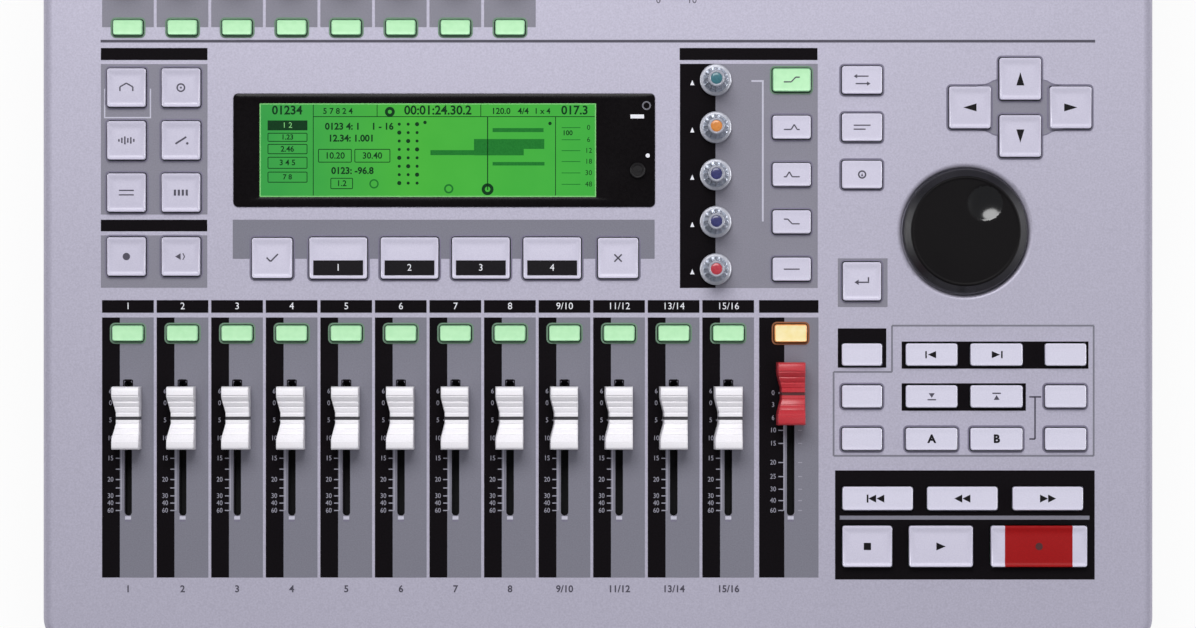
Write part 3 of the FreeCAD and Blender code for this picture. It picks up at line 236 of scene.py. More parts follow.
case_paint = plastic(
    "case_paint", (181, 177, 195), (193, 189, 207), 0.7, 0.02, 0.46, wear=0.25, metallic=0.3,
    coat=0.05
)
base_paint = plastic("base_paint", (58, 59, 64), (70, 71, 76), 0.8, 0.06, 0.55)
rear_steel = plastic("rear_steel", (38, 38, 41), (48, 48, 52), 0.6, 0.03, 0.5, metallic=0.3)
nickel = plastic("nickel", (196, 194, 188), (210, 208, 202), 1.5, 0.004, 0.22, metallic=1.0)
socket_plastic = plastic("socket_plastic", (24, 24, 26), (32, 32, 35), 0.5, 0.02, 0.45)
rubber = plastic("rubber", (26, 26, 27), (36, 36, 37), 0.7, 0.08, 0.8)
track_steel = plastic("track_steel", (16, 16, 18), (22, 22, 25), 0.8, 0.01, 0.5, specular=0.2)
board_green = plastic("board_green", (20, 66, 40), (28, 84, 52), 2.0, 0.02, 0.45)
drive_steel = plastic("drive_steel", (150, 152, 156), (168, 170, 174), 1.2, 0.01, 0.35, metallic=0.9)
drive_black = plastic("drive_black", (34, 34, 37), (44, 44, 47), 0.6, 0.03, 0.5)


def paint_cad_nodes():
    finishes = {
        "top_case": case_paint, "bottom_case": base_paint, "rear_panel": rear_steel,
        "fader_tracks": track_steel, "rotary_controls": socket_plastic,
        "control_board": board_green, "main_board": board_green, "power_supply": board_green,
        "hard_drive": drive_steel, "disc_drive": drive_black, "lcd_module": socket_plastic,
        "sockets": socket_plastic, "rubber_feet": rubber, "case_screws": nickel,
        "disc_tray": drive_black, "eject_button": drive_black, "power_switch": socket_plastic,
    }
    for name, material in finishes.items():
        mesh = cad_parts[name].data
        mesh.materials.clear()
        mesh.materials.append(material)


# Mesh building


def mesh_of(curve, span):
    """The mesh of a flat curve that is thickened from one level to another."""
    curve.extrude = (span[1] - span[0]) / 2 * MM
    holder = bpy.data.objects.new("holder", curve)
    mesh = bpy.data.meshes.new_from_object(holder)
    bpy.data.objects.remove(holder)
    bpy.data.curves.remove(curve)
    return mesh


def filled_mesh(outlines, span):
    """A thin plate that fills the outlines; an outline inside another is a hole in it."""
    curve = bpy.data.curves.new("filled", "CURVE")
    curve.dimensions = "2D"
    curve.fill_mode = "BOTH"
    for outline in outlines:
        spline = curve.splines.new("POLY")
        spline.points.add(len(outline) - 1)
        for point, (u, v) in zip(spline.points, outline):
            point.co = (u * MM, v * MM, 0, 1)
        spline.use_cyclic_u = True
    return mesh_of(curve, span)


# Share of the built-in font's size that a capital is high
CAPITAL_HEIGHT = 0.69


class Piece:
    """Collects geometry in panel or case millimetres, then becomes one named object."""

    def __init__(self, name, material, place=PANEL):
        self.name = name
        self.materials = [material]
        self.place = place
        self.mesh = bmesh.new()

    def paint(self, finish=None):
        """The slot of a finish, or of the piece's own where none is given."""
        if finish and finish not in self.materials:
            self.materials.append(finish)
        return self.materials.index(finish) if finish else 0

    def ring(self, points):
        return [self.mesh.verts.new(Vector(p) * MM) for p in points]

    def skin(self, rings, close_first=False, close_last=True, material=0):
        """Faces between rings of equally many points, lowest ring first."""
        rings = [self.ring(points) for points in rings]
        for lower, upper in zip(rings, rings[1:]):
            for i in range(len(lower)):
                j = i - 1
                face = self.mesh.faces.new((lower[j], lower[i], upper[i], upper[j]))
                face.material_index = material
                face.smooth = True
        if close_first:
            self.mesh.faces.new(reversed(rings[0])).material_index = material
        if close_last:
            self.mesh.faces.new(rings[-1]).material_index = material

    def take(self, mesh, matrix, material=0):
        """Adds the faces of a finished mesh, moved by a matrix in metres."""
        known = len(self.mesh.faces)
        mesh.transform(matrix)
        self.mesh.from_mesh(mesh)
        self.mesh.faces.ensure_lookup_table()
        for face in self.mesh.faces[known:]:
            face.material_index = material
        bpy.data.meshes.remove(mesh)

    def fill(self, outlines, span, ink=None):
        """Adds a thin plate that fills the outlines, between two levels."""
        middle = Matrix.Translation((0, 0, sum(span) / 2 * MM))
        self.take(filled_mesh(outlines, span), middle, self.paint(ink))

    def boxes(self, boxes, span, ink=None):
        """Adds a plate for each of some boxes, given by their edges (left, right, front, rear)."""
        for edges in boxes:
            self.fill([edges_outline(*edges)], span, ink)

    def text(self, text, u, v, size, span, ink=None, width=1.0, weight=0.0):
        """Adds figures of this height round a point; the weight thickens their strokes."""
        curve = bpy.data.curves.new("figures", "FONT")
        curve.body = text
        curve.align_x = curve.align_y = "CENTER"
        curve.size = size / CAPITAL_HEIGHT * MM
        curve.offset = weight * MM
        curve.resolution_u = 3
        middle = Matrix.Translation((u * MM, v * MM, sum(span) / 2 * MM))
        self.take(mesh_of(curve, span), middle @ Matrix.Diagonal((width, 1, 1, 1)), self.paint(ink))

    def draw(self, u, v, points, width, span, ink=None):
        """Adds straight strokes through some offsets from a place."""
        for stroke in strokes(u, v, points, width):
            self.fill(stroke, span, ink)

    def finish(self, body, *replaced, slot=None, smooth_angle=40):
        mesh = bpy.data.meshes.new(self.name)
        self.mesh.normal_update()
        self.mesh.to_mesh(mesh)
        self.mesh.free()
        for material in self.materials:
            mesh.materials.append(material)
        placed = bpy.data.objects.new(self.name, mesh)
        bpy.context.collection.objects.link(placed)
        placed.matrix_world = self.place
        mesh.set_sharp_from_angle(angle=math.radians(smooth_angle))
        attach(placed, body)
        if replaced:
            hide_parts(*replaced)


def polar(reach, turn):
    """The offset at this distance, turned anticlockwise from the right by an angle in radians."""
    return reach * math.cos(turn), reach * math.sin(turn)


def rounded_outline(u, v, width, length, corner, steps=5):
    """Points anticlockwise round a rectangle with round corners."""
    corner = min(corner, width / 2, length / 2)
    points = []
    for quarter, (side, end) in enumerate(((1, 1), (-1, 1), (-1, -1), (1, -1))):
        for step in range(steps + 1):
            x, y = polar(corner, math.radians(90) * (quarter + step / steps))
            points.append((u + side * (width / 2 - corner) + x, v + end * (length / 2 - corner) + y))
    return points


def circle_outline(u, v, radius, steps=40):
    offsets = (polar(radius, 2 * math.pi * step / steps) for step in range(steps))
    return [(u + x, v + y) for x, y in offsets]


def raised(outline, *levels):
    """An outline at each of some levels, for Piece.skin."""
    return [[(x, y, w) for x, y in outline] for w in levels]


def knurled_outline(u, v, radius, knurl, steps):
    """A circle whose every second point is pulled in."""
    points = []
    for step in range(steps):
        x, y = polar(radius - (knurl if step % 2 else 0.0), 2 * math.pi * step / steps)
        points.append((u + x, v + y))
    return points


def edges_outline(left, right, front, rear, corner=0.0):
    if corner:
        return rounded_outline((left + right) / 2, (front + rear) / 2, right - left, rear - front, corner)
    return [(left, front), (right, front), (right, rear), (left, rear)]


# Keys: (across, along) sizes, and where their rows and columns lie
CHANNELS = 12
INPUTS = 8
CHANNEL_PITCH = 22.05
CHANNEL_1_U = -189.9
STEREO_U = 77.85
KEY_RISE = 2.2
KEY_CORNER = 1.0
KEY_GAP = 0.4
INPUT_KEY = (12.0, 6.2)
INPUT_KEY_V = 249.5
SELECT_KEY = (12.6, 6.4)
STEREO_KEY = (13.2, 7.2)
SELECT_KEY_V = 126.0
NAVIGATE_KEY = (15.6, 15.6)
NAVIGATE_COLUMNS = (-190.4, -168.4)
NAVIGATE_ROWS = (157.0, 182.8, 203.9, 225.2)
SOFT_KEY = (23.3, 16.7)
SOFT_KEY_1_U = -104.9
SOFT_KEY_PITCH = 28.8
SOFT_KEY_V = 156.4
SIDE_KEY = (16.3, 16.3)
SIDE_KEY_COLUMNS = (-131.6, 8.1)
EQ_ROWS = 5
EQ_FRONT_V = 151.9
EQ_ROW_PITCH = 19.1
EQ_KNOB_U = 47.5
EQ_KEY = (15.4, 9.4)
EQ_KEY_U = 78.2
EDIT_KEY = (16.2, 11.2)
EDIT_KEY_U = 106.6
EDIT_KEYS = 3
ENTER_KEY = (15.5, 15.5)
ENTER_KEY_V = 147.0
CURSOR_KEY = (16.8, 16.9)
CURSOR_U = 170.5
CURSOR_V = 217.2
CURSOR_REACH_U = 20.35
CURSOR_REACH_V = 11.55
LOCATE_COLUMNS = (106.6, 134.7, 160.9, 188.8)
LOCATE_WIDTHS = (16.2, 20.8, 21.0, 16.6)
LOCATE_ROWS = (83.3, 100.5, 117.4)
LOCATE_KEY_LENGTH = 9.0
SEARCH_KEY = (28.4, 9.5)
SEARCH_COLUMNS = (112.9, 147.1, 181.6)
SEARCH_KEY_V = 59.3
TRANSPORT_V = 40.0
TRANSPORT_LENGTH = 16.6
TRANSPORT_RISE = 3.0
STOP_KEY = (108.7, 20.0)
PLAY_KEY = (138.4, 25.7)
RECORD_KEY = (178.0, 38.8)


def channel_u(index):
    return CHANNEL_1_U + CHANNEL_PITCH * index


def eq_v(row):
    return EQ_FRONT_V + EQ_ROW_PITCH * row


def key_banks():
    """Every bank's caps as (u, v, width, length)."""
    cursor = [(0, 1), (-1, 0), (1, 0), (0, -1)]
    cursor_places = [
        (CURSOR_U + CURSOR_REACH_U * across, CURSOR_V + CURSOR_REACH_V * along)
        for across, along in cursor
    ]
    return {
        "input_select_keys": [(channel_u(i), INPUT_KEY_V, *INPUT_KEY) for i in range(INPUTS)],
        "channel_select_keys": [
            *[(channel_u(i), SELECT_KEY_V, *SELECT_KEY) for i in range(CHANNELS)],
            (STEREO_U, SELECT_KEY_V, *STEREO_KEY),
        ],
        "navigate_keys": [(u, v, *NAVIGATE_KEY) for v in NAVIGATE_ROWS for u in NAVIGATE_COLUMNS],
        "soft_keys": [
            *[(SOFT_KEY_1_U + SOFT_KEY_PITCH * i, SOFT_KEY_V, *SOFT_KEY) for i in range(4)],
            *[(u, SOFT_KEY_V, *SIDE_KEY) for u in SIDE_KEY_COLUMNS],
        ],
        "eq_keys": [(EQ_KEY_U, eq_v(row), *EQ_KEY) for row in range(EQ_ROWS)],
        "edit_keys": [
            (EDIT_KEY_U, eq_v(row), *EDIT_KEY) for row in range(EQ_ROWS - EDIT_KEYS, EQ_ROWS)
        ],
        "enter_key": [(EDIT_KEY_U, ENTER_KEY_V, *ENTER_KEY)],
        "cursor_keys": [(u, v, *CURSOR_KEY) for u, v in cursor_places],
        "locate_keys": [
            (u, v, width, LOCATE_KEY_LENGTH)
            for v in LOCATE_ROWS
            for u, width in zip(LOCATE_COLUMNS, LOCATE_WIDTHS)
        ],
        "search_keys": [(u, SEARCH_KEY_V, *SEARCH_KEY) for u in SEARCH_COLUMNS],
        "stop_key": [(STOP_KEY[0], TRANSPORT_V, STOP_KEY[1], TRANSPORT_LENGTH)],
        "play_key": [(PLAY_KEY[0], TRANSPORT_V, PLAY_KEY[1], TRANSPORT_LENGTH)],
        "record_key": [(RECORD_KEY[0], TRANSPORT_V, RECORD_KEY[1], TRANSPORT_LENGTH)],
    }


# Print on the panel: how high each coat stands, and the edges (left, right, front, rear)
COAT = (-0.02, 0.04)
SECOND_COAT = (0.0, 0.07)
THIRD_COAT = (0.0, 0.1)
OUTLINE_WIDTH = 0.65
STRIP_WIDTH = 20.9
STRIP_REACH = 10.5
STRIP_BLACK = 7.2
STRIP_FRONT = 27.3
STRIP_REAR = 132.4
HEADER_FRONT = 134.3
HEADER_REAR = 139.4
STEREO_STRIP = (65.1, 89.1)
STEREO_SPLIT = 75.3
EQ_FIELD = (33.1, 88.8, 144.3, 234.9)
EQ_SPLIT = 47.5
EQ_HEADER = (33.0, 88.7, 236.4, 241.3)
NAVIGATE_HEADER = (-200.9, -157.8, 236.4, 241.3)
NAVIGATE_FIELD = (-200.9, -157.8, 174.0, 234.8)
QUICK_HEADER = (-200.9, -157.9, 167.2, 171.9)
QUICK_FIELD = (-200.9, -157.9, 144.4, 165.6)
SOFT_FIELD = (-147.6, 22.9, 156.1, 171.9)
INPUT_FIELD = (249.7, 283.5)
TOP_LINE = (-201.0, 200.9, 243.5, 244.6)
ENTER_FIELD = (96.9, 117.0, 136.6, 156.3)
CLIP_FIELD = (96.9, 116.5, 112.1, 128.0)
MARK_FIELD = (122.7, 198.2, 111.7, 122.7)
LAST_FIELD = (122.7, 172.9, 94.7, 105.8)
LOCATE_LEFT = (95.2, 118.8)
LOCATE_RIGHT = 200.3
LOCATE_FRONT = 76.5
LOCATE_REAR = (110.4, 129.1)
LINE_WIDTH = 0.5
LOCATE_LINE = 0.75
BRACKET_LINE = 0.65
TRANSPORT_FIELD = (95.8, 200.7, 26.5, 70.6)
TRANSPORT_LINE = (97.7, 198.6, 50.7, 52.3)
BLACK_FIELDS = (CLIP_FIELD, MARK_FIELD, LAST_FIELD, TRANSPORT_FIELD)
SLOT_WIDTH = 3.1
SLOT_CORNER = 1.4
SLOT_FRONT = 52.25
SLOT_REAR = 107.1
KNOB_HOLE = 3.8
FIELD_MARGIN = 12.0
WINDOW_U = -62.15
WINDOW_V = 199.95
WINDOW_WIDTH = 170.3
WINDOW_HEIGHT = 45.7
MONITOR_U = 31.3
MONITOR_V = 277.0
MONITOR_FIGURES = (("0", 24.4), ("10", 38.0))
MONITOR_FIGURE_V = 260.6
KNOB_MARKS = 11
KNOB_MARK_REACH = (1.0, 2.3)
KNOB_MARK_LINE = 0.4
GAIN_KNOB_V = 272.8

print_black = plastic("print_black", (12, 9, 12), (18, 14, 18), 0.6, 0.01, 0.55, specular=0.04)
print_grey = plastic("print_grey", (119, 118, 130), (127, 126, 138), 0.5, 0.015, 0.5, specular=0.3)
print_mid = plastic("print_mid", (129, 127, 139), (137, 135, 147), 0.5, 0.015, 0.5, specular=0.3)
# A darker ring that is partly painted shade: round the key openings, in front of the fader slots and along
# the cursor ground's flares.
outline_and_shade = plastic("outline_and_shade", (112, 108, 128), (122, 118, 137), 0.4, 0.01, 0.5)
# The next two tint the ring round the lit keys with their painted glow.
outline_green_glow = plastic("outline_green_glow", (104, 134, 112), (112, 142, 120), 0.4, 0.01, 0.5, specular=0.3)
outline_amber_glow = plastic("outline_amber_glow", (132, 84, 54), (142, 92, 60), 0.4, 0.01, 0.5, specular=0.3)
# Pale print, also used for the painted highlight in front of each fader slot.
pale_print_and_highlight = plastic("pale_print_and_highlight", (188, 186, 202), (198, 196, 212), 0.4, 0.01, 0.5)
print_white = plastic("print_white", (224, 224, 230), (238, 238, 244), 0.3, 0.005, 0.5)
print_scale = plastic("print_scale", (148, 146, 160), (158, 156, 170), 0.4, 0.01, 0.5)
print_dark = plastic("print_dark", (62, 58, 74), (72, 68, 84), 0.3, 0.005, 0.5)


def is_lit(name, cap):
    if name == "eq_keys":
        return cap[1] == eq_v(EQ_ROWS - 1)
    return name in ("input_select_keys", "channel_select_keys")


def all_keys():
    return [cap for caps in key_banks().values() for cap in caps]


def inside(edges, u, v):
    left, right, front, rear = edges
    return left < u < right and front < v < rear


def key_opening(cap, grow=0.0):
    u, v, width, length = cap
    reach = 2 * (KEY_GAP + grow)
    return rounded_outline(u, v, width + reach, length + reach, KEY_CORNER + KEY_GAP + grow)


def slot_opening(u):
    return rounded_outline(
        u, (SLOT_FRONT + SLOT_REAR) / 2, SLOT_WIDTH, SLOT_REAR - SLOT_FRONT, SLOT_CORNER
    )


def holes_in(edges):
    """Outlines of every key, slot and knob hole that lies in a printed field."""
    holes = [key_opening(cap) for cap in all_keys() if inside(edges, cap[0], cap[1])]
    sliders = [channel_u(i) for i in range(CHANNELS)] + [STEREO_U]
    holes += [slot_opening(u) for u in sliders if inside(edges, u, (SLOT_FRONT + SLOT_REAR) / 2)]
    knobs = [(EQ_KNOB_U, eq_v(row)) for row in range(EQ_ROWS)]
    knobs += [(channel_u(i), GAIN_KNOB_V) for i in range(INPUTS)]
    holes += [circle_outline(u, v, KNOB_HOLE, 24) for u, v in knobs if inside(edges, u, v)]
    return holes


def outline_frame(edges, width, outer_corner=0.0, inner_corner=0.0):
    left, right, front, rear = edges
    within = (left + width, right - width, front + width, rear - width)
    return [edges_outline(*edges, outer_corner), edges_outline(*within, inner_corner)]


def strip_edges(index):
    left = channel_u(index) - STRIP_REACH
    return left, left + STRIP_WIDTH


def add_field(piece, edges, material, split=None):
    """A printed field with its holes; left of a split it is black.

    It is first made past its front edge, so that keys which stick out of it cut it cleanly.
    """
    left, right, front, rear = edges
    longer = (left, right, front - FIELD_MARGIN, rear)
    mesh = filled_mesh([edges_outline(*longer)] + holes_in(longer), COAT)
    part = bmesh.new()
    part.from_mesh(mesh)
    cuts = [dict(plane_co=(0, front * MM, 0), plane_no=(0, -1, 0), clear_outer=True)]
    if split is not None:
        cuts.append(dict(plane_co=(split * MM, 0, 0), plane_no=(1, 0, 0)))
    for cut in cuts:
        bmesh.ops.bisect_plane(part, geom=part.verts[:] + part.edges[:] + part.faces[:], **cut)
    part.to_mesh(mesh)
    part.free()
    known = len(piece.mesh.faces)
    piece.take(mesh, Matrix.Translation((0, 0, sum(COAT) / 2 * MM)), piece.paint(material))
    for face in piece.mesh.faces[known:]:
        if split is not None and face.calc_center_median().x < split * MM:
            face.material_index = piece.paint(print_black)


def print_fields():
    """The grey and black fields behind keys, faders and knobs."""
    piece = Piece("printed_fields", print_grey)
    for index in range(CHANNELS):
        left, right = strip_edges(index)
        add_field(piece, (left, right, STRIP_FRONT, STRIP_REAR), print_grey, left + STRIP_BLACK)
    add_field(piece, (*STEREO_STRIP, STRIP_FRONT, STRIP_REAR), print_grey, STEREO_SPLIT)
    add_field(piece, EQ_FIELD, print_mid, EQ_SPLIT)
    add_field(piece, SOFT_FIELD, print_grey)
    input_fields = [(*strip_edges(index), *INPUT_FIELD) for index in range(INPUTS)]
    for edges in [NAVIGATE_FIELD, QUICK_FIELD, ENTER_FIELD] + input_fields:
        add_field(piece, edges, print_mid)
    for edges in BLACK_FIELDS:
        add_field(piece, edges, print_black)
    headers = [(*strip_edges(index), HEADER_FRONT, HEADER_REAR) for index in range(CHANNELS)]
    headers += [(*STEREO_STRIP, HEADER_FRONT, HEADER_REAR), EQ_HEADER, NAVIGATE_HEADER, QUICK_HEADER]
    piece.boxes(headers, COAT, print_black)
    piece.boxes([TOP_LINE], COAT, print_dark)
    piece.finish("case", slot="case_silver")


def print_outlines():
    """The darker ring round every key's opening, partly painted shade of the gap round the key, tinted with
    the painted glow round the lit keys; black fields have none.
    """
    piece = Piece("key_outlines", outline_and_shade)
    for name, caps in key_banks().items():
        for cap in caps:
            if any(inside(edges, cap[0], cap[1]) for edges in BLACK_FIELDS):
                continue
            ink = outline_and_shade
            if is_lit(name, cap):
                ink = outline_amber_glow if cap[0] == STEREO_U else outline_green_glow
            piece.fill([key_opening(cap, OUTLINE_WIDTH), key_opening(cap)], SECOND_COAT, ink)
    piece.finish("case", slot="case_silver")


# Key caps
KEY_BOTTOM = -1.2
EDGE_STEPS = ((0.0, -0.55), (0.05, -0.3), (0.17, -0.1), (0.42, 0.0))
SCOOP_DEPTH = 0.85
SCOOP_DOME = 0.4
SCOOP_INSETS = (0.8, 1.3, 1.9, 2.6, 3.4, 4.6, 6.2)
SHORT_KEY = 12.0
SHORT_SCOOP_DEPTH = 0.2
REAR_SLOPE = 2.8
REAR_SLOPE_SHARE = 0.2
REAR_RIM = 0.5
FRONT_SLOPE = 1.2
FRONT_RIM = 0.4
FRONT_FLOOR = 0.25
FACE_CORNER = 0.6
EDGE_SCOOPS = (0, 0, 0.1, 0.35)
TRANSPORT_KEYS = ("stop_key", "play_key", "record_key")

key_plastic = plastic("key_plastic", (204, 200, 219), (212, 208, 226), 0.5, 0.008, 0.36, coat=0.1)
# The next two are the key plastic painted lighter and darker: painted light on the locate and search keys,
# painted shade on the navigate and cursor keys.
key_plastic_lit = plastic("key_plastic_lit", (212, 209, 227), (220, 217, 234), 0.5, 0.008, 0.36, coat=0.1)
key_plastic_shaded = plastic("key_plastic_shaded", (198, 194, 213), (206, 202, 220), 0.5, 0.008, 0.36, coat=0.1)
# The pale green and pale orange faces are the painted glow of the lit keys' backlight, brightest in the
# middle; the darker green and amber are their rims.
key_green = plastic("key_green", (184, 238, 186), (192, 243, 193), 2.5, 0.004, 0.4)
key_leaf = plastic("key_leaf", (138, 196, 146), (150, 206, 158), 1.5, 0.004, 0.4)
key_orange_glow = plastic("key_orange_glow", (250, 232, 160), (254, 240, 186), 3.0, 0.004, 0.4)
key_amber = plastic("key_amber", (240, 148, 72), (246, 166, 90), 2.0, 0.004, 0.4)
key_red = plastic("key_red", (150, 4, 8), (162, 8, 12), 0.6, 0.008, 0.42, specular=0.2)
key_black = plastic("key_black", (16, 13, 17), (22, 19, 24), 0.5, 0.006, 0.4, specular=0.15)


def smooth_step(value):
    value = max(0.0, min(1.0, value))
    return value * value * (3 - 2 * value)


def scoop(offset, length):
    """How far the gently domed face lies below the rim, at this distance from the key's middle."""
    depth = SCOOP_DEPTH if length > SHORT_KEY else SHORT_SCOOP_DEPTH
    slope = min(REAR_SLOPE, REAR_SLOPE_SHARE * length)
    rear_side = smooth_step((length / 2 - offset - REAR_RIM) / slope)
    front_side = smooth_step((length / 2 + offset - FRONT_RIM) / FRONT_SLOPE)
    dome = SCOOP_DOME * (1 - (2 * offset / length) ** 2)
    floor = min(rear_side, FRONT_FLOOR + (1 - FRONT_FLOOR) * front_side)
    return depth * (floor - dome * min(rear_side, front_side))


def add_key(piece, cap, rise, finish, edge):
    """A cap with soft edges and a shallow scoop, steeper towards the rear."""
    u, v, width, length = cap

    def ring(inset, level, corner, share=1.0):
        outline = rounded_outline(u, v, width - 2 * inset, length - 2 * inset, corner)
        return [(x, y, level - share * scoop(y - v, length)) for x, y in outline]

    sides = [ring(0.0, KEY_BOTTOM, KEY_CORNER, 0.0)]
    for (inset, drop), share in zip(EDGE_STEPS, EDGE_SCOOPS):
        sides.append(ring(inset, rise + drop, max(KEY_CORNER - inset, 0.25), share))
    piece.skin(sides, close_last=False, material=piece.paint(edge))
    insets = [inset for inset in SCOOP_INSETS if min(width, length) / 2 - inset >= FRONT_RIM]
    face = [ring(EDGE_STEPS[-1][0], rise, KEY_CORNER - EDGE_STEPS[-1][0], EDGE_SCOOPS[-1])]
    face += [ring(inset, rise, FACE_CORNER) for inset in insets]
    piece.skin(face, close_last=True, material=piece.paint(finish))


def add_keys():
    # Painted light and shade: these banks take a lighter or darker copy of the key plastic.
    bank_plastics = {
        "locate_keys": key_plastic_lit, "search_keys": key_plastic_lit,
        "navigate_keys": key_plastic_shaded, "cursor_keys": key_plastic_shaded,
    }
    for name, caps in key_banks().items():
        plain = bank_plastics.get(name, key_plastic)
        rise = TRANSPORT_RISE if name in TRANSPORT_KEYS else KEY_RISE
        piece = Piece(name + "_caps", plain)
        for cap in caps:
            finish, edge = plain, plain
            # A lit key's face is painted pale as the glow of its backlight, its rim darker.
            if is_lit(name, cap):
                finish, edge = (key_orange_glow, key_amber) if cap[0] == STEREO_U else (key_green, key_leaf)
            add_key(piece, cap, rise, finish, edge)
        add_bank_signs(piece, name, caps, rise)
        piece.finish(name, name)


# Faders: a cap that dips to its index line, with grip grooves and a flared left flank
CHANNEL_FADER_V = 91.9
STEREO_FADER_V = 101.7
CAP_LENGTH = 25.3
CAP_BASE = 1.2
CAP_HEIGHT = 12.0
CAP_VALLEY = 3.2
CAP_SHOULDER = 3.5
CAP_RIGHT = 5.5
CAP_LEAN = 0.7
CAP_FLARE = 5.95
CAP_WAIST = 4.45
FLARE_START = 2.2
FLARE_END = 8.0
GROOVE_PITCH = 2.25
GROOVE_HALF = 0.36
GROOVE_FLOOR = 0.12
GROOVE_DEPTH = 0.22
GROOVES_EACH_SIDE = 4
INDEX_HALF = 0.68
INDEX_FLOOR = 0.58
INDEX_DEPTH = 0.35
END_ROUND = ((0.0, 3.4), (0.05, 1.6), (0.25, 0.7), (0.65, 0.2), (1.15, 0.0))
LEVER_WIDTH = 1.2
LEVER_LENGTH = 4.0
LEVER_BOTTOM = -7.0

fader_white = plastic("fader_white", (240, 237, 242), (247, 244, 249), 0.5, 0.006, 0.38, coat=0.1)
fader_red = plastic("fader_red", (182, 40, 50), (196, 48, 58), 0.5, 0.006, 0.36, coat=0.1)
index_paint = plastic("index_paint", (52, 50, 56), (60, 58, 64), 0.3, 0.004, 0.5)
index_dark_red = plastic("index_dark_red", (66, 8, 14), (76, 12, 18), 0.3, 0.004, 0.5)
lever_steel = plastic("lever_steel", (150, 150, 156), (168, 168, 174), 0.6, 0.004, 0.3, metallic=1.0)


def cap_top(offset):
    """Height of the cap's back, before its grooves, at this distance from the index line."""
    peak = CAP_LENGTH / 2 - CAP_SHOULDER
    reach = min(abs(offset), peak)
    ball = (peak ** 2 + CAP_VALLEY ** 2) / (2 * CAP_VALLEY)
    dip = CAP_VALLEY - (ball - math.sqrt(ball ** 2 - reach ** 2))
    return CAP_HEIGHT - dip


def cap_stations():
    """(offset along the cap, drop below its back) from the front end to the rear end."""
    half = [(0.0, INDEX_DEPTH), (INDEX_FLOOR, INDEX_DEPTH), (INDEX_HALF, 0.0)]
    for groove in range(1, GROOVES_EACH_SIDE + 1):
        middle = groove * GROOVE_PITCH
        half += [
            (middle - GROOVE_HALF, 0.0), (middle - GROOVE_FLOOR, GROOVE_DEPTH),
            (middle + GROOVE_FLOOR, GROOVE_DEPTH), (middle + GROOVE_HALF, 0.0),
        ]
    half += [(CAP_LENGTH / 2 - inset, drop) for inset, drop in reversed(END_ROUND)]
    front = [(-offset, drop) for offset, drop in reversed(half[1:])]
    return front + half


def cap_flank(offset):
    """How far left the foot of the flank reaches: narrow at the index, flared at the ends."""
    share = (abs(offset) - FLARE_START) / (FLARE_END - FLARE_START)
    return -(CAP_WAIST + (CAP_FLARE - CAP_WAIST) * max(0.0, min(1.0, share)))


def cap_section(offset, drop):
    """(across, up) round the cap at this distance from the index line, its back lowered by the drop."""
    top = cap_top(offset) - drop
    left = cap_flank(offset)
    crest = left + CAP_LEAN
    return (
        (left + 0.15, CAP_BASE), (left, CAP_BASE + 0.2), (left + 0.05, CAP_BASE + 1.0),
        (crest - 0.25, top - 0.45), (crest - 0.05, top - 0.12), (crest + 0.35, top),
        (CAP_RIGHT - 0.6, top), (CAP_RIGHT - 0.2, top - 0.12), (CAP_RIGHT - 0.02, top - 0.5),
        (CAP_RIGHT, CAP_BASE + 0.2), (CAP_RIGHT - 0.15, CAP_BASE),
    )


def add_fader(name, u, v, cap_material, index_material):
    piece = Piece(name + "_cap", cap_material)
    index = piece.paint(index_material)
    piece.skin([
        [(u + x, v + offset, w) for x, w in cap_section(offset, drop)] for offset, drop in cap_stations()
    ], close_first=True)
    for face in piece.mesh.faces:
        middle = face.calc_center_median() / MM
        if abs(middle.y - v) < INDEX_HALF - 0.05 and middle.z > CAP_BASE + 1.5:
            face.material_index = index
    bmesh.ops.recalc_face_normals(piece.mesh, faces=piece.mesh.faces)
    stem = rounded_outline(u, v, LEVER_WIDTH, LEVER_LENGTH, 0.3, 2)
    lever = piece.paint(lever_steel)
    piece.skin(raised(stem, LEVER_BOTTOM, CAP_BASE + 0.3), close_first=True, material=lever)
    piece.finish(name, name, smooth_angle=30)


def add_faders():
    for index in range(CHANNELS):
        add_fader(f"fader_{index + 1}", channel_u(index), CHANNEL_FADER_V, fader_white, index_paint)
    add_fader("fader_stereo", STEREO_U, STEREO_FADER_V, fader_red, index_dark_red)


# Knobs
SHAFT_RADIUS = 3.0
KNOB_SHAFT_DEPTH = 7.0
KNOB_BOTTOM = 0.8
EQ_KNOB_RADIUS = 6.4
EQ_KNOB_HEIGHT = 15.0
GAIN_KNOB_HEIGHT = 14.0
EQ_CROWN = 3.35
GAIN_CROWN = 4.5
MONITOR_CROWN = 5.4
MONITOR_RADIUS = 7.5
MONITOR_HEIGHT = 12.0
KNOB_FLUTES = 12
FLUTE_STEPS = 8
FLUTE_DEPTH = 0.7
SKIRT_WIDTH = 1.3
POINTER_START = 0.35
POINTER_END = 0.95
POINTER_WIDTH = 0.9

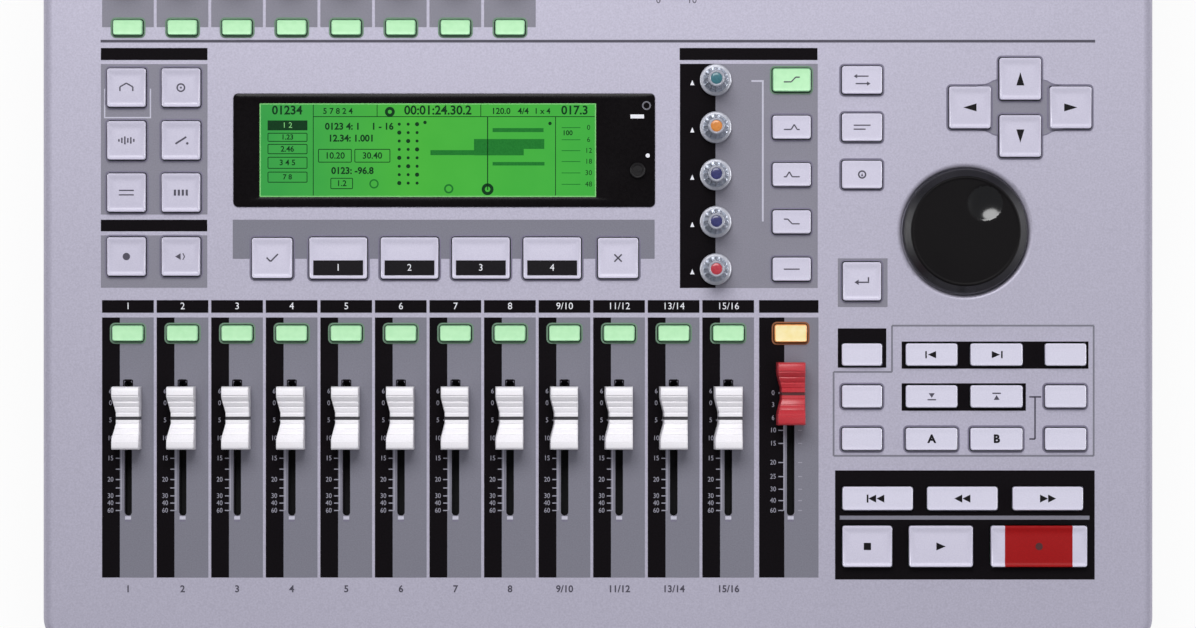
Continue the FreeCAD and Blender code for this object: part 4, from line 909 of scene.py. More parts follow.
knob_silver = plastic(
    "knob_silver", (150, 156, 170), (172, 178, 192), 1.4, 0.01, 0.3, metallic=0.3, coat=0.4
)
knob_lip = plastic("knob_lip", (150, 152, 164), (162, 164, 176), 0.8, 0.006, 0.34, coat=0.2)
knob_shell = plastic(
    "knob_shell", (172, 173, 183), (184, 185, 195), 0.8, 0.006, 0.38, metallic=0.15, coat=0.1
)
knob_grey = plastic("knob_grey", (96, 95, 104), (108, 107, 116), 0.7, 0.01, 0.42)
DOT_COLOURS = {
    "red": ((172, 44, 58), (190, 58, 72)), "blue": ((40, 42, 92), (54, 56, 112)),
    "orange": ((202, 122, 46), (216, 138, 62)), "teal": ((46, 100, 112), (58, 116, 128)),
}
dots = {
    name: plastic("dot_" + name, *colours, 0.8, 0.01, 0.3, coat=0.4)
    for name, colours in DOT_COLOURS.items()
}
EQ_DOTS = [dots[name] for name in ("red", "blue", "blue", "orange", "teal")]


def fluted_ring(u, v, w, radius, depth=0.0):
    count = KNOB_FLUTES * FLUTE_STEPS
    points = []
    for step in range(count):
        turn = 2 * math.pi * step / count
        wave = 0.5 - 0.5 * math.cos(KNOB_FLUTES * turn)
        x, y = polar(radius - depth * wave, turn)
        points.append((u + x, v + y, w))
    return points


def add_shaft(piece, u, v, radius, top, material):
    shaft = circle_outline(u, v, radius, 32)
    piece.skin(raised(shaft, -KNOB_SHAFT_DEPTH, top), close_first=True, material=piece.paint(material))


def add_knob(name, u, v, radius, height, crown, finishes, pointer=None):
    """A skirt, a fluted grip that narrows upwards, and a lip round a coloured disc."""
    shell, grip, lip_finish, top = finishes
    piece = Piece(name + "_shell", shell)
    base = radius - SKIRT_WIDTH
    disc = crown - 1.05

    def turn(finish, profile, **closing):
        rings = [fluted_ring(u, v, w, reach, *flutes) for reach, w, *flutes in profile]
        piece.skin(rings, material=piece.paint(finish), **closing)

    skirt = (
        (radius - 0.35, KNOB_BOTTOM), (radius, KNOB_BOTTOM + 0.3), (radius, KNOB_BOTTOM + 1.3),
        (radius - 0.2, KNOB_BOTTOM + 1.8), (radius - 0.6, KNOB_BOTTOM + 2.0), (base, KNOB_BOTTOM + 2.05),
    )
    body = (
        (base, KNOB_BOTTOM + 2.05), (base - 0.15, KNOB_BOTTOM + 2.3, FLUTE_DEPTH),
        (crown + 0.9, height * 0.6, FLUTE_DEPTH), (crown + 0.3, height - 1.2, FLUTE_DEPTH),
        (crown, height - 0.7),
    )
    lip = (
        (crown, height - 0.7), (crown - 0.12, height - 0.25), (crown - 0.45, height),
        (crown - 0.85, height - 0.08), (disc, height - 0.3),
    )
    dome = (
        (disc, height - 0.3), (disc - 0.25, height - 0.12), (0.6 * disc, height - 0.02),
        (0.25 * disc, height),
    )
    turn(shell, skirt, close_first=True, close_last=False)
    turn(grip, body, close_last=False)
    turn(lip_finish, lip, close_last=False)
    turn(top, dome)
    add_shaft(piece, u, v, SHAFT_RADIUS, KNOB_BOTTOM + 0.2, lever_steel)
    if pointer:
        half = POINTER_WIDTH / 2
        line = (u - half, u + half, v + POINTER_START * crown, v + POINTER_END * crown)
        piece.boxes([line], (height - 0.3, height + 0.06), pointer)
    piece.finish(name, name, smooth_angle=50)


def add_knobs():
    for row in range(EQ_ROWS):
        add_knob(
            f"eq_knob_{EQ_ROWS - row}", EQ_KNOB_U, eq_v(row), EQ_KNOB_RADIUS, EQ_KNOB_HEIGHT,
            EQ_CROWN, (knob_shell, knob_silver, knob_lip, EQ_DOTS[row]),
        )
    for index in range(INPUTS):
        add_knob(
            f"gain_knob_{index + 1}", channel_u(index), GAIN_KNOB_V, EQ_KNOB_RADIUS, GAIN_KNOB_HEIGHT,
            GAIN_CROWN, [knob_grey] * 4, print_white,
        )
    add_knob(
        "monitor_knob", MONITOR_U, MONITOR_V, MONITOR_RADIUS, MONITOR_HEIGHT,
        MONITOR_CROWN, [knob_grey] * 4, print_white,
    )


# Jog wheel
JOG_U = 148.3
JOG_V = 167.2
JOG_RADIUS = 25.2
JOG_TOP_RADIUS = 21.8
JOG_HEIGHT = 5.2
JOG_SHOULDER = 2.5
JOG_BOTTOM = -2.6
JOG_STEPS = 192
JOG_KNURL = 0.1
JOG_FACE_STEP = 0.42
JOG_FACE_END = 0.5
DIMPLE_RADIUS = 7.2
DIMPLE_DEPTH = 1.7
DIMPLE_OFFSET = (7.8, 11.2)
DIMPLE_EDGE = 0.5

jog_black = plastic("jog_black", (9, 7, 9), (13, 10, 12), 0.5, 0.012, 0.5, specular=0.1)
jog_side = plastic("jog_side", (15, 14, 17), (21, 20, 24), 0.5, 0.02, 0.28, specular=0.4)
jog_gloss = plastic("jog_gloss", (5, 4, 5), (8, 7, 8), 0.8, 0.002, 0.13, coat=0.4)


def dimple_drop(x, y):
    """Depth of the finger dimple at a place on the wheel's top."""
    reach = math.hypot(x - DIMPLE_OFFSET[0], y - DIMPLE_OFFSET[1])
    if reach > DIMPLE_RADIUS + DIMPLE_EDGE:
        return 0.0
    ball = (DIMPLE_RADIUS ** 2 + DIMPLE_DEPTH ** 2) / (2 * DIMPLE_DEPTH)
    if reach < DIMPLE_RADIUS - DIMPLE_EDGE:
        return math.sqrt(ball ** 2 - reach ** 2) - (ball - DIMPLE_DEPTH)
    inner = DIMPLE_RADIUS - DIMPLE_EDGE
    rim_depth = math.sqrt(ball ** 2 - inner ** 2) - (ball - DIMPLE_DEPTH)
    share = (reach - inner) / (2 * DIMPLE_EDGE)
    return rim_depth * (1 - smooth_step(share)) ** 1.5


def add_jog_wheel():
    piece = Piece("jog_wheel_body", jog_side)
    top = piece.paint(jog_black)
    gloss = piece.paint(jog_gloss)

    def ring(radius, w, knurl=0.0):
        outline = knurled_outline(0, 0, radius, knurl, JOG_STEPS)
        return [(JOG_U + x, JOG_V + y, w - dimple_drop(x, y)) for x, y in outline]

    side = (
        (JOG_RADIUS - 1.0, JOG_BOTTOM), (JOG_RADIUS, JOG_BOTTOM + 0.6),
        (JOG_RADIUS, JOG_SHOULDER - 1.6), (JOG_RADIUS, JOG_SHOULDER - 1.5, JOG_KNURL),
        (JOG_RADIUS - 0.1, JOG_SHOULDER - 0.4, JOG_KNURL),
        (JOG_RADIUS - 0.5, JOG_SHOULDER + 0.2, JOG_KNURL),
        (JOG_TOP_RADIUS + 0.6, JOG_HEIGHT - 0.55, JOG_KNURL),
        (JOG_TOP_RADIUS + 0.45, JOG_HEIGHT - 0.4),
    )
    rim = [
        (JOG_TOP_RADIUS + 0.45, JOG_HEIGHT - 0.4), (JOG_TOP_RADIUS + 0.2, JOG_HEIGHT - 0.12),
        (JOG_TOP_RADIUS - 0.1, JOG_HEIGHT), (JOG_TOP_RADIUS - 0.5, JOG_HEIGHT - 0.02),
    ]
    face_radius = JOG_TOP_RADIUS - 0.7
    steps = math.ceil((face_radius - JOG_FACE_END) / JOG_FACE_STEP)
    face = [(face_radius - JOG_FACE_STEP * step, JOG_HEIGHT - 0.15) for step in range(steps)]
    piece.skin([ring(*place) for place in side], close_first=True, close_last=False)
    piece.skin([ring(*place) for place in rim + face], material=top)
    bmesh.ops.remove_doubles(piece.mesh, verts=piece.mesh.verts, dist=1e-7)
    for patch in piece.mesh.faces:
        middle = patch.calc_center_median() / MM
        reach = math.hypot(middle.x - JOG_U - DIMPLE_OFFSET[0], middle.y - JOG_V - DIMPLE_OFFSET[1])
        if middle.z > JOG_SHOULDER and reach < DIMPLE_RADIUS - 0.2 and patch.normal.z > 0.4:
            patch.material_index = gloss
    add_shaft(piece, JOG_U, JOG_V, SHAFT_RADIUS, JOG_BOTTOM + 0.2, lever_steel)
    piece.finish("jog_wheel", "jog_wheel", smooth_angle=35)


# Display
WINDOW_SINK = 1.2
WINDOW_RISE = 0.8
WINDOW_CORNER = 2.0
LCD_LEFT = -136.7
LCD_FRONT = 181.1
LCD_WIDTH = 135.9
LCD_LENGTH = 37.8
LCD_LEVEL = 0.25
LCD_CORNER = 0.4
LCD_COAT = (0.24, 0.3)
LCD_BORDER = 0.45
CONTRAST_U = 16.0
CONTRAST_V = 191.8
CONTRAST_RADIUS = 3.2
CONTRAST_BOTTOM = 1.1
CONTRAST_TOP = 2.7
CONTRAST_SHAFT = 1.2
CONTRAST_STEPS = 60

contrast_black = plastic("contrast_black", (20, 18, 20), (26, 24, 26), 0.4, 0.006, 0.4, specular=0.25)
window_black = plastic("window_black", (10, 7, 9), (14, 11, 13), 1.2, 0.002, 0.2, specular=0.12)
lcd_ink = plastic("lcd_ink", (3, 50, 18), (5, 58, 24), 0.6, 0.001, 0.6, specular=0.1)
lcd_border = plastic("lcd_border", (118, 200, 110), (130, 210, 122), 0.8, 0.001, 0.4)
lcd_soft_ink = plastic("lcd_soft_ink", (22, 112, 38), (30, 122, 44), 0.6, 0.001, 0.6, specular=0.1)


def make_lcd_light():
    """Backlit green, yellower in the middle, cooler and dimmer at the left end."""
    material = new_material("lcd_light", (30, 92, 36), 0.3, specular=0.2)
    shader = material.node_tree.nodes["Principled BSDF"]
    set_inputs(shader, Emission_Strength=0.82)
    place = add_node(material, "TexCoord")
    split = add_node(material, "SeparateXYZ")
    right = (LCD_LEFT + LCD_WIDTH) * MM
    across = add_node(material, "MapRange", From_Min=LCD_LEFT * MM, From_Max=right)
    glow = add_ramp(
        material, (0.0, (44, 142, 66)), (0.16, (52, 152, 62)), (0.45, (68, 170, 50)), (1.0, (56, 162, 56))
    )
    tint = add_ramp(material, (0.0, (20, 84, 30)), (1.0, (44, 104, 40)))
    join(
        material, (place.outputs["Object"], split.inputs[0]), (split.outputs["X"], across.inputs["Value"]),
        (across.outputs["Result"], glow.inputs["Fac"]),
        (glow.outputs["Color"], shader.inputs["Emission Color"]),
        (add_noise(material, 14.0, 2.0), tint.inputs["Fac"]),
        (tint.outputs["Color"], shader.inputs["Base Color"]),
    )
    return material


lcd_light = make_lcd_light()


def add_bezel():
    """The gloss black window frame, with the lit screen just below its face."""
    piece = Piece("display_bezel", window_black)
    frame_steps = (
        (0.0, -WINDOW_SINK), (0.0, WINDOW_RISE - 0.35), (0.12, WINDOW_RISE - 0.1), (0.4, WINDOW_RISE)
    )
    screen_steps = ((-0.5, WINDOW_RISE), (-0.25, WINDOW_RISE - 0.08), (0.0, LCD_LEVEL))
    window = (WINDOW_U, WINDOW_V, WINDOW_WIDTH, WINDOW_HEIGHT, WINDOW_CORNER)
    screen = (LCD_LEFT + LCD_WIDTH / 2, LCD_FRONT + LCD_LENGTH / 2, LCD_WIDTH, LCD_LENGTH, LCD_CORNER)
    rings = []
    for (u, v, width, length, corner), steps in ((window, frame_steps), (screen, screen_steps)):
        for inset, w in steps:
            outline = rounded_outline(u, v, width - 2 * inset, length - 2 * inset, corner - inset)
            rings += raised(outline, w)
    piece.skin(rings)
    piece.mesh.faces.ensure_lookup_table()
    piece.mesh.faces[-1].material_index = piece.paint(lcd_light)
    piece.finish("case", "display_window", slot="window_black")


def lcd_box(left, right, front, rear):
    """Edges in panel millimetres of a place given from the screen's front left corner."""
    return (LCD_LEFT + left, LCD_LEFT + right, LCD_FRONT + front, LCD_FRONT + rear)


LCD_BARS = (
    (69.0, 86.6, 16.9, 18.9), (86.6, 106.7, 16.8, 19.4), (86.6, 115.0, 19.4, 23.4),
    (94.1, 114.7, 26.2, 27.8), (94.1, 115.1, 12.7, 14.1),
)
LCD_LINES = (
    (21.5, 21.8, 0.5, 37.3), (21.8, 135.4, 32.3, 32.6), (47.3, 47.6, 32.6, 37.3),
    (91.9, 92.3, 2.8, 32.3), (119.4, 119.7, 0.5, 32.3), (89.2, 89.5, 32.6, 37.3),
)
LCD_FRAMES = (
    (3.2, 19.3, 22.3, 25.9), (3.2, 19.3, 17.3, 21.4), (3.2, 19.3, 11.4, 16.2), (3.2, 19.3, 5.8, 10.2),
    (23.6, 37.2, 13.9, 19.4), (38.3, 52.8, 13.9, 19.4), (28.6, 37.7, 3.2, 7.7),
)
LCD_FRAME = (0.32, 0.5, 0.18)
LCD_FIGURES = (
    ("01234", 11.1, 34.9, 3.4), ("5 7 8 2 4", 31.6, 34.6, 2.3), ("00:01:24.30.2", 72.0, 34.9, 3.5),
    ("120.0", 97.5, 34.6, 2.4), ("4/4", 106.5, 34.6, 2.4), ("1 x 4", 114.2, 34.6, 2.2),
    ("017.3", 127.3, 34.9, 3.4), ("0123 4: 1", 33.5, 28.4, 2.6), ("1 - 16", 49.6, 28.4, 2.6),
    ("12.34: 1.001", 37.0, 23.6, 2.6), ("10.20", 30.4, 16.6, 2.5), ("30.40", 45.5, 16.6, 2.5),
    ("0123: -96.8", 37.5, 10.5, 2.6), ("1.2", 33.1, 5.4, 2.3), ("1.23", 11.2, 24.1, 2.0),
    ("2.46", 11.2, 19.3, 2.2), ("3 4 5", 11.2, 13.8, 2.2), ("7 8", 11.2, 8.0, 2.0),
    ("100", 124.4, 25.8, 1.9),
)
LCD_SCALE = (("0", 28.0), ("6", 23.1), ("12", 18.7), ("18", 14.3), ("30", 9.7), ("48", 5.1))
LCD_WEIGHT = 0.12
LCD_SMALL = 2.5
LCD_RINGS = ((52.6, 34.4, 2.0, 0.8), (76.4, 3.3, 1.9, 1.2), (92.1, 3.1, 2.4, 1.1), (46.2, 5.3, 1.9, 1.3))
LCD_SOFT_RINGS = LCD_RINGS[1::2]
LCD_PATCH = (3.2, 19.3, 26.9, 30.9)
LCD_PATCH_FIGURE = ("1 2", 11.2, 28.9, 2.2)
LCD_SCALE_FIGURE = (132.9, 2.0)
LCD_TICK = (122.0, 129.6, 0.15)
LCD_CHANNEL_COLUMNS = (56.4, 60.0, 63.6)
LCD_CHANNEL_ROWS = 8
LCD_CHANNEL_PITCH = 3.4
LCD_CHANNEL_FRONT = 5.6
LCD_DOT = 0.85
LCD_SMALL_DOT = 0.62
LCD_SPOTS = ((66.8, 30.1, 0.7), (117.3, 29.7, 0.7))


def lcd_circle(x, y, radius, steps=16):
    return circle_outline(LCD_LEFT + x, LCD_FRONT + y, radius, steps)


def lcd_dots():
    """(x, y, radius) of the three columns of dots, one for each channel, and the two lone spots."""
    dots = list(LCD_SPOTS)
    for row in range(LCD_CHANNEL_ROWS):
        for column, x in enumerate(LCD_CHANNEL_COLUMNS):
            radius = LCD_SMALL_DOT if (row + column) % 3 else LCD_DOT
            dots.append((x, LCD_CHANNEL_FRONT + LCD_CHANNEL_PITCH * row, radius))
    return dots


def add_screen_drawing():
    piece = Piece("display_drawing", lcd_ink)

    def figures(text, x, y, size, span=LCD_COAT, ink=None, weight=0.0):
        piece.text(text, LCD_LEFT + x, LCD_FRONT + y, size, span, ink, weight=weight)

    full = lcd_box(0.0, LCD_WIDTH, 0.0, LCD_LENGTH)
    piece.fill(outline_frame(full, LCD_BORDER), LCD_COAT, lcd_border)
    piece.boxes([lcd_box(*bar) for bar in LCD_BARS], LCD_COAT, lcd_soft_ink)
    piece.boxes([lcd_box(*box) for box in (LCD_PATCH, *LCD_LINES)], LCD_COAT)
    for box in LCD_FRAMES:
        piece.fill(outline_frame(lcd_box(*box), *LCD_FRAME), LCD_COAT)
    for text, x, y, size in LCD_FIGURES:
        figures(text, x, y, size, weight=LCD_WEIGHT if size > LCD_SMALL else LCD_WEIGHT / 2)
    left, right, half = LCD_TICK
    for text, y in LCD_SCALE:
        figures(text, LCD_SCALE_FIGURE[0], y, LCD_SCALE_FIGURE[1])
        piece.boxes([lcd_box(left, right, y - half, y + half)], LCD_COAT, lcd_soft_ink)
    for dot in lcd_dots():
        piece.fill([lcd_circle(*dot)], LCD_COAT)
    for ring in LCD_RINGS:
        x, y, outer, inner = ring
        ink = lcd_soft_ink if ring in LCD_SOFT_RINGS else None
        piece.fill([lcd_circle(x, y, radius, 40) for radius in (outer, inner)], LCD_COAT, ink)
    figures(*LCD_PATCH_FIGURE, (LCD_COAT[0], LCD_COAT[1] + 0.04), lcd_border)
    piece.finish("case", slot="lcd_green")


WINDOW_COAT = (WINDOW_RISE - 0.02, WINDOW_RISE + 0.04)
WINDOW_DASH = (13.1, 18.6, 212.8, 214.4)
WINDOW_DOT = (20.1, 197.8, 0.85)
WINDOW_RING = (19.6, 218.0)
WINDOW_RING_RADII = (1.8, 1.2)


def add_window_marks():
    """The small printed marks at the right end of the window."""
    piece = Piece("display_marks", print_white)
    piece.boxes([WINDOW_DASH], WINDOW_COAT)
    piece.fill([circle_outline(*WINDOW_DOT, 20)], WINDOW_COAT)
    rings = [circle_outline(*WINDOW_RING, radius) for radius in WINDOW_RING_RADII]
    piece.fill(rings, WINDOW_COAT, knob_grey)
    piece.finish("case", slot="window_black")


def add_contrast_knob():
    """A small knurled thumb knob with a coin slot."""
    piece = Piece("contrast_knob_disc", contrast_black)
    places = [
        (CONTRAST_RADIUS - 0.3, CONTRAST_BOTTOM, 0), (CONTRAST_RADIUS, CONTRAST_BOTTOM + 0.2, 0.12),
        (CONTRAST_RADIUS, CONTRAST_TOP - 0.35, 0.12), (CONTRAST_RADIUS - 0.35, CONTRAST_TOP, 0),
        (CONTRAST_RADIUS - 0.9, CONTRAST_TOP - 0.05, 0), (CONTRAST_RADIUS - 1.2, CONTRAST_TOP - 0.4, 0),
    ]
    rings = []
    for radius, w, knurl in places:
        outline = knurled_outline(CONTRAST_U, CONTRAST_V, radius, knurl, CONTRAST_STEPS)
        rings += raised(outline, w)
    piece.skin(rings, close_first=True)
    add_shaft(piece, CONTRAST_U, CONTRAST_V, CONTRAST_SHAFT, CONTRAST_BOTTOM + 0.2, contrast_black)
    ridge = block(CONTRAST_U, CONTRAST_V, 3.4, 0.9, 0.3)
    piece.skin(raised(ridge, CONTRAST_TOP - 0.45, CONTRAST_TOP - 0.05))
    piece.finish("contrast_knob", "contrast_knob")


# Flat shapes of ink
SIGN_LIFT = 0.05
SIGN_SINK = 0.03
LETTER_SIZE = 3.1


def triangle(u, v, width, length, turn=0):
    """A narrow arrow head; turn 0 points to the rear, 90 to the left."""
    cosine, sine = polar(1, math.radians(turn))
    corners = ((-width / 2, -length / 2), (width / 2, -length / 2), (0, length / 2))
    return [(u + x * cosine - y * sine, v + x * sine + y * cosine) for x, y in corners]


def block(u, v, width, length, corner=0.0):
    return edges_outline(u - width / 2, u + width / 2, v - length / 2, v + length / 2, corner)


def segment(u, v, start, end, width):
    """A straight stroke between two offsets from a place."""
    x0, y0 = start
    x1, y1 = end
    span = math.hypot(x1 - x0, y1 - y0)
    side_x, side_y = (y0 - y1) / span * width / 2, (x1 - x0) / span * width / 2
    return [
        (u + x0 + side_x, v + y0 + side_y), (u + x0 - side_x, v + y0 - side_y),
        (u + x1 - side_x, v + y1 - side_y), (u + x1 + side_x, v + y1 + side_y),
    ]


def strokes(u, v, points, width):
    return [[segment(u, v, a, b, width)] for a, b in zip(points, points[1:])]


# Signs on keys: each is a function of the key's middle that gives a list of fills


def arrow(x, y, width, length, turn=0):
    return lambda u, v: [[triangle(u + x, v + y, width, length, turn)]]


def bar(x, y, width, length):
    return lambda u, v: [[block(u + x, v + y, width, length)]]


def disc(x, y, radius):
    return lambda u, v: [[circle_outline(u + x, v + y, radius, 24)]]


def hoop(outer, inner):
    return lambda u, v: [[circle_outline(u, v, outer, 28), circle_outline(u, v, inner, 28)]]


def drawn(width, *runs):
    """Straight strokes through each run of offsets from the key's middle."""
    return lambda u, v: [stroke for run in runs for stroke in strokes(u, v, run, width)]


def together(*signs):
    return lambda u, v: [fill for sign in signs for fill in sign(u, v)]


def level_line(y, left, right):
    return ((left, y), (right, y))


SOUND_BARS = (1.0, 2.2, 3.2, 1.8, 2.6, 1.2)
NAVIGATE_SIGNS = (
    disc(0, 0, 1.5),
    together(arrow(-1.2, 0, 2.6, 2.2, 90), drawn(0.4, ((0.8, 1.3), (1.5, 0), (0.8, -1.3)))),
    drawn(0.5, level_line(0.9, -3.0, 3.0), level_line(-0.9, -3.0, 3.0)),
    together(*[bar(-2.4 + 1.6 * i, 0, 0.9, 2.4) for i in range(4)]),
    together(*[bar(-3.0 + 1.2 * i, 0, 0.6, height) for i, height in enumerate(SOUND_BARS)]),
    together(drawn(0.7, ((-2.2, -1.4), (2.2, 1.4))), disc(2.6, -1.2, 0.5)),
    drawn(0.55, ((-2.6, -1.4), (-2.6, 0.3), (0, 1.8), (2.6, 0.3), (2.6, -1.4))),
    together(hoop(1.8, 1.2), disc(0, 0, 0.4)),
)
SIDE_SIGNS = (
    drawn(0.6, ((-2.2, 0.2), (-0.6, -1.4), (2.4, 1.6))),
    drawn(0.6, ((-1.5, -1.5), (1.5, 1.5)), ((-1.5, 1.5), (-0.2, 0.2)), ((0.2, -0.2), (1.5, -1.5))),
)
EQ_SIGNS = (
    drawn(0.5, level_line(0.0, -3.2, 3.2)),
    drawn(0.5, ((-3.2, 1.1), (-1.6, 1.1), (0.2, -0.8), (3.2, -0.8))),
    drawn(0.5, ((-3.2, -0.9), (-2.2, -0.9), (-1.0, 1.1), (0.2, -0.9), (3.2, -0.9))),
    drawn(0.5, ((-3.2, -0.9), (-0.2, -0.9), (1.0, 1.1), (2.2, -0.9), (3.2, -0.9))),
    drawn(0.5, ((-3.2, -0.8), (-0.2, -0.8), (1.6, 1.1), (3.2, 1.1))),
)
EDIT_SIGNS = (
    together(hoop(1.7, 1.1), arrow(0, 0, 0.9, 1.4)),
    drawn(0.5, level_line(0.8, -3.4, 3.4), level_line(-0.8, -3.4, 1.4)),
    together(
        drawn(0.5, level_line(1.5, -2.2, 2.6), level_line(-1.5, -2.6, 2.2)),
        arrow(-2.7, 1.5, 1.7, 1.4, 90), arrow(2.7, -1.5, 1.7, 1.4, -90),
    ),
)
ENTER_SIGN = together(
    drawn(0.55, ((2.6, 1.7), (2.6, -0.1)), level_line(-0.4, 2.87, -1.6)), arrow(-2.2, -0.4, 2.2, 1.7, 90)
)
MIDDLE_LOCATE_SIGNS = (
    together(arrow(0, 0.4, 2.4, 1.9, 180), bar(0, -1.3, 3.4, 0.5)),
    together(arrow(0, -0.4, 2.4, 1.9), bar(0, 1.3, 3.4, 0.5)),
)
REAR_LOCATE_SIGNS = (
    together(bar(-2.3, 0, 0.6, 2.9), arrow(0.1, 0, 2.9, 3.3, 90)),
    together(arrow(-0.3, 0, 2.9, 3.3, -90), bar(2.1, 0, 0.6, 2.9)),
)
SEARCH_SIGNS = (
    together(bar(-4.1, 0, 0.7, 3.2), arrow(-2.2, 0, 3.2, 3.1, 90), arrow(1.1, 0, 3.2, 3.1, 90)),
    together(arrow(-1.7, 0, 3.2, 3.2, 90), arrow(1.6, 0, 3.2, 3.2, 90)),
    together(arrow(-1.6, 0, 3.2, 3.2, -90), arrow(1.7, 0, 3.2, 3.2, -90)),
)
SOFT_LABEL = (1.4, 6.0)
SOFT_LABEL_INSET = 1.6
RECORD_RED = 27.3


def bank_signs():
    """For each bank: its first key with a sign, the signs in key order, and their ink."""
    cursor_signs = [arrow(0, 0, 3.2, 5.3, turn) for turn in (0, 90, -90, 180)]
    return (
        ("navigate_keys", 0, NAVIGATE_SIGNS, print_dark),
        ("soft_keys", 4, SIDE_SIGNS, print_dark),
        ("eq_keys", 0, EQ_SIGNS, print_dark),
        ("edit_keys", 0, EDIT_SIGNS, print_dark),
        ("enter_key", 0, (ENTER_SIGN,), print_dark),
        ("cursor_keys", 0, cursor_signs, key_black),
        ("locate_keys", 5, MIDDLE_LOCATE_SIGNS, print_dark),
        ("locate_keys", 9, REAR_LOCATE_SIGNS, key_black),
        ("search_keys", 0, SEARCH_SIGNS, key_black),
        ("stop_key", 0, (bar(0, 0, 2.9, 2.9),), key_black),
        ("play_key", 0, (arrow(0, 0, 3.2, 3.7, -90),), key_black),
        ("record_key", 0, (disc(0, 0, 1.5),), index_dark_red),
    )


def key_level(cap, rise):
    return rise - scoop(0.0, cap[3])


def add_soft_key_label(piece, cap, number, level):
    """A black label in the front half of a wide key, with its number in white."""
    u, v, width, length = cap
    gap, height = SOFT_LABEL
    middle = v - length / 2 + gap + height / 2
    label = block(u, middle, width - 2 * SOFT_LABEL_INSET, height)
    piece.fill([label], (level - 0.5, level + 0.1), key_black)
    piece.text(str(number), u, middle, FIGURE_SIZE, (level, level + 0.16), print_white)


def redden_middle(piece, cap):
    """Turns the middle of the record key red and leaves its ends pale."""
    u = cap[0] - 0.15
    red = piece.paint(key_red)
    for side in (-1, 1):
        everything = piece.mesh.verts[:] + piece.mesh.edges[:] + piece.mesh.faces[:]
        edge = Vector(((u + side * RECORD_RED / 2) * MM, 0, 0))
        bmesh.ops.bisect_plane(piece.mesh, geom=everything, plane_co=edge, plane_no=(1, 0, 0))
    for face in piece.mesh.faces:
        if abs(face.calc_center_median().x / MM - u) < RECORD_RED / 2:
            face.material_index = red


def add_bank_signs(piece, name, caps, rise):
    """The signs on a bank's caps, raised a little as thick ink."""
    if name == "record_key":
        redden_middle(piece, caps[0])

    def ink_span(cap):
        level = key_level(cap, rise)
        return level - SIGN_SINK, level + SIGN_LIFT

    for bank, first, signs, ink in bank_signs():
        if bank != name:
            continue
        for cap, sign in zip(caps[first:], signs):
            for fill in sign(cap[0], cap[1]):
                piece.fill(fill, ink_span(cap), ink)
    if name == "soft_keys":
        for index, cap in enumerate(caps[:4]):
            add_soft_key_label(piece, cap, index + 1, key_level(cap, rise))
    if name == "locate_keys":
        for letter, cap in zip("AB", caps[1:3]):
            piece.text(letter, cap[0], cap[1], LETTER_SIZE, ink_span(cap), key_black, weight=0.2)


# Figures and lines printed on the panel
CHANNEL_FIGURES = ("1", "2", "3", "4", "5", "6", "7", "8", "9/10", "11/12", "13/14", "15/16")
HEADER_FIGURE_V = 136.9
FOOT_FIGURE_V = 22.6
FIGURE_SIZE = 2.7
SCALE_LINE = -2.45
SCALE_LINE_WIDTH = 0.5
TICK_REACH = 2.0
TICK_HALF = 0.2
SCALE_FIGURE = -7.1
SCALE_FIGURE_SIZE = 1.9
CHANNEL_SCALE = (
    (102.6, "6"), (97.8, "0"), (90.9, "5"), (83.6, "10"), (75.5, "15"), (71.1, ""), (66.9, "20"),
    (63.5, ""), (60.3, "30"), (57.4, "40"), (54.4, "60"),
)
STEREO_SCALE = (
    (101.9, "0"), (97.1, "3"), (91.8, "6"), (86.8, "10"), (81.5, "15"), (73.8, "20"), (68.1, "25"),
    (63.0, "30"), (58.4, "40"), (54.4, "60"),
)
# A pale patch in front of each fader slot is painted highlight where the slot's front end catches light,
# with painted shade in front of it.
SLOT_HIGHLIGHT = (-1.2, 1.2, 50.75, 52.1)
SLOT_SHADE = (-1.2, 1.2, 49.95, 50.6)
SLOT_TABS = ((-2.0, -1.56, 104.4, 107.2), (1.56, 2.0, 104.4, 107.2), (-1.5, 1.5, 106.65, 107.4))
EQ_BRACKET_U = 66.6
EQ_BRACKET_LINE = 0.7
EQ_BRACKET_REACH = 4.6
EQ_ARROW_U = 38.1
EQ_ARROW = (1.7, 2.1)
STEREO_TICK = (3.0, 4.6)
CURSOR_LINE = 0.55
CURSOR_FLARE = ((-17.2, 8.85), (-14.6, 9.1), (-12.6, 9.8), (-10.8, 10.8), (-8.8, 11.3))
LOCATE_BRACKET_U = 176.6
BRACKET_ARM = 2.3
BRACKET_TIP = 2.5
NAVIGATE_LABEL = (-199.6, -180.6, 212.9, 224.8)


def add_scale(piece, u, marks):
    """The line, ticks and figures of a fader's scale."""
    line = u + SCALE_LINE - SCALE_LINE_WIDTH
    boxes = [(line, u + SCALE_LINE, marks[-1][0], marks[0][0])]
    boxes += [(line - TICK_REACH, line, v - TICK_HALF, v + TICK_HALF) for v, _ in marks]
    piece.boxes(boxes, THIRD_COAT, print_scale)
    for v, text in marks:
        if text:
            piece.text(text, u + SCALE_FIGURE, v, SCALE_FIGURE_SIZE, THIRD_COAT, print_scale, 0.9)


def print_slot_ends(piece, u):
    """The painted highlight in front of a fader's slot, the painted shade in front of that, and the black
    tabs at the slot's rear.
    """
    marks = [(SLOT_HIGHLIGHT, pale_print_and_highlight), (SLOT_SHADE, outline_and_shade)]
    marks += [(tab, print_black) for tab in SLOT_TABS]
    for (left, right, front, rear), ink in marks:
        piece.boxes([(u + left, u + right, front, rear)], THIRD_COAT, ink)


